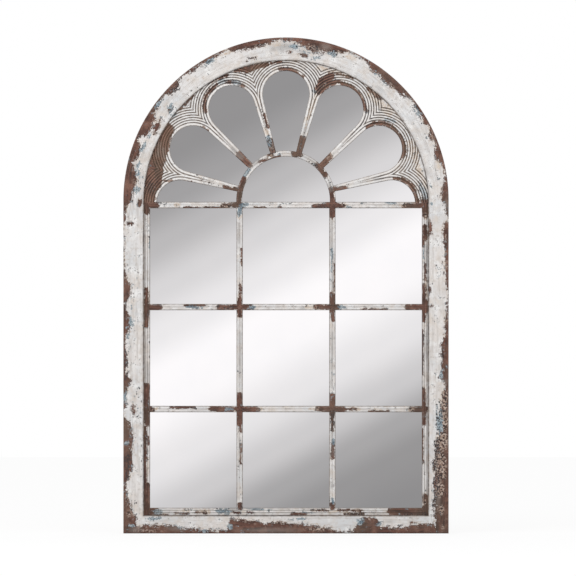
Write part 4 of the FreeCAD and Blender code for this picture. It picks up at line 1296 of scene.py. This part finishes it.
# ------------------------------------------------------------------ weathered paint
def shared_textures(n):
    """What the layers of the paint share: the stored values, the noises and where the wood is bare."""
    layers = n.add("ShaderNodeAttribute", {"attribute_name": "layers"}).outputs
    split = n.add("ShaderNodeSeparateColor", Color=layers["Color"]).outputs
    flow = n.stored("grain", "Vector")
    stretched = n.add("ShaderNodeMapping", Vector=flow, Scale=(14.0, 150.0, 150.0)).outputs[0]
    flakes = n.add("ShaderNodeMapping", Vector=flow, Scale=(28.0, 170.0, 170.0)).outputs[0]
    place = n.place()
    t = SimpleNamespace(
        worn=split[0], blue=split[1], tan=split[2], dark=layers["Alpha"], dim=n.stored("dim"),
        relief=n.stored("relief"), bays=n.noise(place, 34.0, 3.0, 0.5), patchy=n.noise(place, 95.0, 4.0, 0.6),
        flaky=n.noise(flakes, 1.0, 4.0, 0.6), crumbs=n.noise(place, 300.0, 3.0, 0.6),
        flecks=n.noise(place, 170.0, 2.0, 0.5), fibre=n.noise(stretched, 1.0, 4.0, 0.6, 0.6),
        cloudy=n.noise(place, 7.0, 3.0, 0.5), fine=n.noise(place, 520.0, 3.0, 0.6),
        mottled=n.noise(place, 30.0, 5.0, 0.62))
    # the border of the worn parts, pushed about by noise of four sizes
    t.jag = n.centred(t.bays, 0.8)
    for noise, weight in ((t.patchy, 1.3), (t.flaky, 1.1), (t.crumbs, 0.7)):
        t.jag = n.plus(t.jag, n.centred(noise, weight))
    t.hole = n.plus(t.worn, t.jag)
    t.wear = finish().wear
    t.bare = n.ramp(t.hole, t.wear - 0.015, t.wear + 0.015)
    t.halo = n.ramp(t.hole, t.wear - 0.26, t.wear - 0.04)
    # dark dots for the soot, and loose chips and pits that are thicker near the worn parts
    wobble = n.add("ShaderNodeTexNoise", Vector=place, Scale=240.0, Detail=3.0).outputs["Color"]
    ragged = n.in_order("ShaderNodeVectorMath", {"operation": "MULTIPLY_ADD"}, wobble, (0.008, 0.008, 0.008),
                        place).outputs["Vector"]
    dots = n.add("ShaderNodeTexVoronoi", {"feature": "F1"}, Vector=ragged, Scale=125.0).outputs
    size = n.times(n.add("ShaderNodeSeparateColor", Color=dots["Color"]).outputs[0], 0.52)
    t.dots = n.math("LESS_THAN", dots["Distance"], size)
    chips = n.add("ShaderNodeTexVoronoi", {"feature": "F1"}, Vector=ragged, Scale=135.0).outputs["Distance"]
    crowd = n.plus(n.ramp(t.bays, 0.50, 0.66, 0.02, 0.24), n.times(t.halo, 0.14))
    t.chips = n.math("LESS_THAN", chips, n.times(crowd, n.ramp(t.bare, 0.0, 1.0, 1.0, 0.55)))
    return t


def worn_wood(n, t):
    """Wood with fibres, pale rubbed parts and stained hollows, scraps of old coats, and a painted shadow
    along the border of the paint.
    """
    f = finish()
    wood = n.coats(f.wood, (t.fibre, 0.36, 0.66, 1.0, f.dark_wood),
                   (t.mottled, 0.46, 0.64, 0.7, (0.250, 0.128, 0.092)),
                   (t.cloudy, 0.50, 0.66, 0.55, (0.110, 0.082, 0.062)),
                   (t.crumbs, 0.56, 0.66, 0.55, f.dark_wood))
    wood = n.mix(n.times(t.dim, 0.6), wood, (0.27, 0.24, 0.215))
    scraps = n.times(n.ramp(t.patchy, 0.565, 0.60), n.ramp(t.hole, t.wear + 0.62, t.wear + 0.22))
    scrap_colour = n.mix(n.ramp(t.bays, 0.42, 0.6), (0.47, 0.37, 0.31), (0.30, 0.33, 0.34))
    wood = n.mix(n.times(scraps, 0.8), wood, scrap_colour)
    primed = n.ramp(t.tan, 0.2, 0.8)
    primer = n.mix(n.ramp(t.patchy, 0.42, 0.58), (0.52, 0.43, 0.37), (0.33, 0.235, 0.18))
    wood = n.mix(n.times(primed, n.ramp(t.flecks, 0.49, 0.53)), wood, primer)
    wood = n.mix(n.times(primed, n.ramp(t.flecks, 0.455, 0.425, 0.0, 0.9)), wood, (0.040, 0.030, 0.028))
    # Painted shadow of the paint's thickness: a dark line where the coat ends on the bare wood.
    brink_shadow = n.times(n.ramp(t.hole, t.wear - 0.01, t.wear + 0.01),
                    n.ramp(t.hole, t.wear + 0.12, t.wear + 0.04))
    return n.mix(n.times(brink_shadow, 0.72), wood, (0.035, 0.024, 0.021))


def top_coat(n, t):
    """Off-white coat with cool and warm clouds, streaks along the grain, thin and dirty spots."""
    f = finish()
    paint = n.coats(f.paint, (t.cloudy, 0.38, 0.62, 1.0, (0.665, 0.668, 0.675)),
                    (t.mottled, 0.44, 0.66, 0.75, (0.655, 0.580, 0.515)),
                    (t.bays, 0.50, 0.66, 0.85, (0.835, 0.825, 0.815)),
                    (t.fibre, 0.48, 0.70, 0.62, f.paint_shade), (t.patchy, 0.54, 0.70, 0.6, f.paint_shade))
    return n.mix(n.times(t.dim, 0.75), paint, (0.365, 0.350, 0.340))


def shows(n, t, layer, shift, reach):
    """Where a stored layer shows, its border pushed about like that of the worn parts."""
    return n.ramp(n.plus(layer, n.times(t.jag, reach)), t.wear + shift, t.wear + shift + 0.10)


def undercoats(n, t, paint, wood):
    """Primer that shows round the chips and in its own patches, bare wood, and patches of blue undercoat."""
    f = finish()
    under = n.mix(n.ramp(t.bays, 0.40, 0.56), f.tan, (0.50, 0.44, 0.42))
    under = n.mix(n.ramp(t.mottled, 0.55, 0.60), under, f.blue)
    colour = n.mix(n.times(t.halo, n.ramp(t.crumbs, 0.40, 0.56, 0.26, 0.80)), paint, under)
    tan = n.mix(n.ramp(t.mottled, 0.45, 0.6), f.tan, (0.66, 0.56, 0.46))
    tinted = n.ramp(n.plus(t.tan, n.times(t.jag, 1.1)), t.wear - 0.12, t.wear + 0.42)
    colour = n.mix(n.times(tinted, n.ramp(t.crumbs, 0.40, 0.58, 0.30, 0.95)), colour, tan)
    colour = n.mix(t.bare, colour, wood)
    blue = n.mix(n.ramp(t.patchy, 0.42, 0.58), f.blue, (0.42, 0.475, 0.50))
    blue = n.mix(n.ramp(t.crumbs, 0.505, 0.57, 0.0, 0.85), blue, (0.060, 0.075, 0.090))
    return n.mix(n.times(shows(n, t, t.blue, 0.0, 1.5), 0.92), colour, blue)


def dark_marks(n, t, colour):
    """Soot, in dots on the coat and closer on bare wood, then loose chips and pits."""
    soot = n.mix(t.bare, n.times(t.dots, 0.92), n.ramp(t.crumbs, 0.49, 0.54, 0.05, 0.97))
    colour = n.mix(n.times(shows(n, t, t.dark, -0.10, 0.85), soot), colour, (0.040, 0.036, 0.038))
    return n.mix(n.times(t.chips, 0.72), colour, (0.060, 0.042, 0.038))


def dirt_shade_and_highlights(n, t, colour):
    """Dirt and painted shade in the hollows, and a painted highlight on the crests: a brighter coat, or paler
    wood where it is bare.
    """
    # Painted shade, with some dirt, darkens the hollows by the relief value.
    grime_and_shade = n.times(n.math("MAXIMUM", t.relief, 0.0), n.ramp(t.patchy, 0.30, 0.62, 0.55, 1.0))
    grime_and_shade_colour = n.mix(n.ramp(t.cloudy, 0.42, 0.56), (0.060, 0.045, 0.041), (0.145, 0.095, 0.062))
    colour = n.mix(n.times(grime_and_shade, 0.97), colour, grime_and_shade_colour)
    # Painted highlight: the crests are made brighter in colour.
    crest_highlight = n.times(n.ramp(t.relief, 0.0, -0.5), n.ramp(t.crumbs, 0.35, 0.55, 0.3, 0.9))
    crest_highlight_colour = n.mix(t.bare, (0.97, 0.955, 0.94), (0.34, 0.205, 0.15))
    return n.mix(n.times(crest_highlight, 0.90), colour, crest_highlight_colour)


@material
def weathered_paint(n):
    """Off-white paint over primer, blue undercoat and brown wood, worn by the layer attributes, with painted
    shade and soiling in the hollows, painted highlights on the crests and a painted shadow at the paint's
    border.
    """
    t = shared_textures(n)
    colour = undercoats(n, t, top_coat(n, t), worn_wood(n, t))
    colour = dirt_shade_and_highlights(n, t, dark_marks(n, t, colour))
    rough = n.plus(n.ramp(t.bare, 0.0, 1.0, 0.52, 0.62), n.centred(t.fine, 0.25))
    height = n.plus(n.times(t.bare, -1.0), n.times(t.fibre, 0.35))
    height = n.math("SUBTRACT", n.plus(height, n.times(t.fine, 0.25)), n.times(t.chips, 0.8))
    return n.surface(colour, rough, (0.55, 0.0009, height), Specular_IOR_Level=0.3)


# ------------------------------------------------------------------ other finishes
@material
def silvering(n):
    """Front-silvered look of a mirror sheet, with the faintest unevenness."""
    place = n.place()
    colour = n.mix(n.ramp(n.noise(place, 6.0, 3.0, 0.5), 0.35, 0.7), finish().silver, (0.905, 0.91, 0.92))
    rough = n.ramp(n.noise(place, 40.0, 4.0, 0.6), 0.3, 0.8, 0.006, 0.016)
    return n.surface(colour, rough, Metallic=1.0)


@material
def pressed_board(n):
    """Pressed brown fibre board with a mesh print on its rough side."""
    place = n.place()
    fibres = n.noise(place, 900.0, 5.0, 0.7)
    blotch = n.noise(place, 14.0, 4.0, 0.6)
    flecked = n.noise(place, 480.0, 4.0, 0.65)
    grid_x, grid_z = (n.add("ShaderNodeTexWave", {"wave_type": "BANDS", "bands_direction": axis},
                            Vector=place, Scale=110.0).outputs["Fac"] for axis in "XZ")
    colour = n.coats(finish().board, (fibres, 0.35, 0.7, 1.0, (0.27, 0.16, 0.090)),
                     (blotch, 0.42, 0.66, 0.35, (0.105, 0.058, 0.034)),
                     (flecked, 0.54, 0.70, 0.6, (0.075, 0.042, 0.026)),
                     (flecked, 0.44, 0.34, 0.5, (0.33, 0.21, 0.125)))
    height = n.plus(n.times(n.times(grid_x, grid_z), 0.8), n.times(fibres, 0.6))
    rough = n.ramp(fibres, 0.3, 0.7, 0.72, 0.88)
    return n.surface(colour, rough, (0.5, 0.0006, height), Specular_IOR_Level=0.2)


@material
def dowel_beech(n):
    """Plain pale beech of the dowels."""
    flecks = n.noise(n.place(), 300.0, 4.0, 0.6)
    colour = n.mix(n.ramp(flecks, 0.4, 0.7), (0.50, 0.33, 0.18), (0.36, 0.22, 0.11))
    return n.surface(colour, 0.6, (0.3, 0.0003, flecks))


@material
def zinc_plate(n):
    """Zinc-plated steel with the crystals' faint mottling and rubbed spots."""
    place = n.place()
    spangle = n.add("ShaderNodeTexVoronoi", Vector=place, Scale=700.0).outputs["Distance"]
    haze = n.noise(place, 160.0, 4.0, 0.6)
    colour = n.mix(n.ramp(haze, 0.35, 0.7), finish().zinc, (0.48, 0.48, 0.46))
    rough = n.plus(n.ramp(haze, 0.3, 0.7, 0.26, 0.42), n.times(spangle, 0.12))
    return n.surface(colour, rough, (0.15, 0.0002, haze), Metallic=1.0)


@material
def bumper_rubber(n):
    """Matt black rubber, dusty on top."""
    dust = n.noise(n.place(), 220.0, 5.0, 0.65)
    colour = n.mix(n.ramp(dust, 0.4, 0.75), (0.018, 0.018, 0.019), (0.060, 0.058, 0.055))
    return n.surface(colour, n.ramp(dust, 0.3, 0.7, 0.62, 0.85), (0.25, 0.0003, dust))


# ------------------------------------------------------------------ stage
# What the mirror faces: brightness along the slanting axis of the room's reflection, from upper left to lower
# right, in metres from the middle of the panes.
ROOM_SHADES = ((-0.66, 0.300), (-0.52, 0.370), (-0.40, 0.505), (-0.26, 0.700), (-0.13, 0.850), (0.0, 0.995),
               (0.10, 0.985), (0.28, 0.82), (0.42, 0.62), (0.54, 0.40), (0.64, 0.315), (0.80, 0.280))
ROOM_AXIS, PANES_HEIGHT = (0.48, 0.0, -0.88), 0.72
ROOM_TINT, ROOM_LIGHT = (1, 0.977, 0.983), 1.07
CARD_DEPTH, CARD_HALF, CARD_LOW, CARD_HIGH = -1.6, 1.3, -0.9, 2.6
FLOOR_HALF, FLOOR_HEIGHT = 9.0, -1e-4
# Lamps: name, place, what it lights, width.
KEY_LAMP = ("key_lamp", (-2.2, -3.2, 3.2), (0, 0, 0.9), 2.4)
FILL_LAMP = ("fill_lamp", (2.6, -3.4, 1.2), (0, 0, 0.8), 2.6)


@material
def floor_pale(n):
    """Pale floor, whiter where the camera or a reflection meets it."""
    rays = n.add("ShaderNodeLightPath").outputs
    seen = n.math("MAXIMUM", rays["Is Camera Ray"], rays["Is Glossy Ray"])
    cloth = n.add("ShaderNodeBsdfDiffuse", Color=n.mix(seen, (0.72, 0.72, 0.72), (0.97, 0.97, 0.97)))
    white = n.add("ShaderNodeEmission", Color=(1, 1, 1, 1), Strength=1.0)
    return n.in_order("ShaderNodeMixShader", None, n.times(rays["Is Camera Ray"], 0.82), cloth.outputs[0],
                      white.outputs[0]).outputs[0]


@material
def room_shades(n):
    """The far side of the room, which only the mirror sees: darker corners and a bright slanting band."""
    axis = n.in_order("ShaderNodeVectorMath", {"operation": "DOT_PRODUCT"}, n.place(), ROOM_AXIS)
    along = n.plus(axis.outputs["Value"], -PANES_HEIGHT * ROOM_AXIS[2])
    low, high = ROOM_SHADES[0][0], ROOM_SHADES[-1][0]
    ramp = n.add("ShaderNodeValToRGB", Fac=n.ramp(along, low, high))
    ramp.color_ramp.interpolation = "EASE"
    stops = ramp.color_ramp.elements
    while len(stops) < len(ROOM_SHADES):
        stops.new(0.5)
    for stop, (at, shade) in zip(stops, ROOM_SHADES):
        stop.position = (at - low) / (high - low)
        stop.color = (*(shade * part for part in ROOM_TINT), 1)
    return n.add("ShaderNodeEmission", Color=ramp.outputs["Color"], Strength=ROOM_LIGHT).outputs[0]


class MIRROR_OT_stage(bpy.types.Operator):
    """Set the floor, the lamps, the room that the mirror shows, and the camera"""

    bl_idname = "window_mirror.stage"
    bl_label = "Stage"

    def execute(self, context):
        stage = context.scene.window_mirror_stage
        self.plane("floor", [(x * FLOOR_HALF, y * FLOOR_HALF, FLOOR_HEIGHT)
                             for x, y in ((-1, -1), (1, -1), (1, 1), (-1, 1))], floor_pale())
        card = self.plane("room_card", [(x * CARD_HALF, CARD_DEPTH, z) for x, z in (
            (-1, CARD_LOW), (-1, CARD_HIGH), (1, CARD_HIGH), (1, CARD_LOW))], room_shades())
        card.visible_camera = card.visible_diffuse = card.visible_shadow = card.visible_transmission = False
        self.world(stage)
        self.lamp(*KEY_LAMP, stage.key)
        self.lamp(*FILL_LAMP, stage.fill)
        camera = bpy.data.cameras.new("camera")
        camera.sensor_width = 36.0
        camera.lens = camera.sensor_width * stage.distance / stage.field
        camera.clip_end = 200.0
        view = new_object("camera", camera)
        view.location = (stage.aim_x, -stage.distance, stage.aim_z)
        view.rotation_euler = (math.pi / 2, 0, 0)
        context.scene.camera = view
        context.scene.view_settings.view_transform = "Standard"
        return {"FINISHED"}

    @staticmethod
    def plane(name, corners, coat):
        mesh = bpy.data.meshes.new(name)
        mesh.from_pydata(corners, [], [tuple(range(len(corners)))])
        mesh.materials.append(coat)
        item = new_object(name, mesh)
        return item

    @staticmethod
    def world(stage):
        """Even white light from all round; the camera and reflections see plain white."""
        world = bpy.data.worlds.new("room")
        bpy.context.scene.world = world
        world.use_nodes = True
        n = Nodes(world.node_tree)
        rays = n.add("ShaderNodeLightPath").outputs
        seen = n.math("MAXIMUM", rays["Is Camera Ray"], rays["Is Glossy Ray"])
        strength = n.ramp(seen, 0.0, 1.0, stage.sky, 1.0)
        light = n.add("ShaderNodeBackground", Color=(1, 1, 1, 1), Strength=strength)
        n.add("ShaderNodeOutputWorld", Surface=light.outputs[0])

    @staticmethod
    def lamp(name, place, target, size, power):
        data = bpy.data.lights.new(name, "AREA")
        data.energy = power
        data.size = size
        lamp = new_object(name, data)
        lamp.location = place
        lamp.rotation_euler = (Vector(target) - Vector(place)).to_track_quat("-Z", "Y").to_euler()
        lamp.visible_glossy = False


# ------------------------------------------------------------------ panel and registration
class MIRROR_PT_panel(bpy.types.Panel):
    """Lists the steps that build the mirror"""

    bl_label = "Window Mirror"
    bl_idname = "MIRROR_PT_panel"
    bl_space_type = "VIEW_3D"
    bl_region_type = "UI"
    bl_category = "Window Mirror"

    def draw(self, context):
        for operator in OPERATORS:
            self.layout.operator(operator.bl_idname)
        for group, _ in GROUPS:
            box = self.layout.box()
            settings = getattr(context.scene, group)
            for name in settings.__annotations__:
                box.prop(settings, name)


GROUPS = (("window_mirror_sizes", MirrorSizes), ("window_mirror_finish", MirrorFinish),
          ("window_mirror_stage", MirrorStage))
OPERATORS = (MIRROR_OT_band, MIRROR_OT_sash, MIRROR_OT_bars, MIRROR_OT_ribs, MIRROR_OT_sheet,
             MIRROR_OT_screws, MIRROR_OT_rings, MIRROR_OT_stage)


def register():
    for name, group in GROUPS:
        bpy.utils.register_class(group)
        setattr(bpy.types.Scene, name, PointerProperty(type=group))
    for item in (*OPERATORS, MIRROR_PT_panel):
        bpy.utils.register_class(item)


def unregister():
    for item in (MIRROR_PT_panel, *reversed(OPERATORS)):
        bpy.utils.unregister_class(item)
    for name, group in reversed(GROUPS):
        delattr(bpy.types.Scene, name)
        bpy.utils.unregister_class(group)


def main():
    register()
    for operator in OPERATORS:
        group, call = operator.bl_idname.split(".")
        getattr(getattr(bpy.ops, group), call)()


if __name__ == "__main__":
    main()
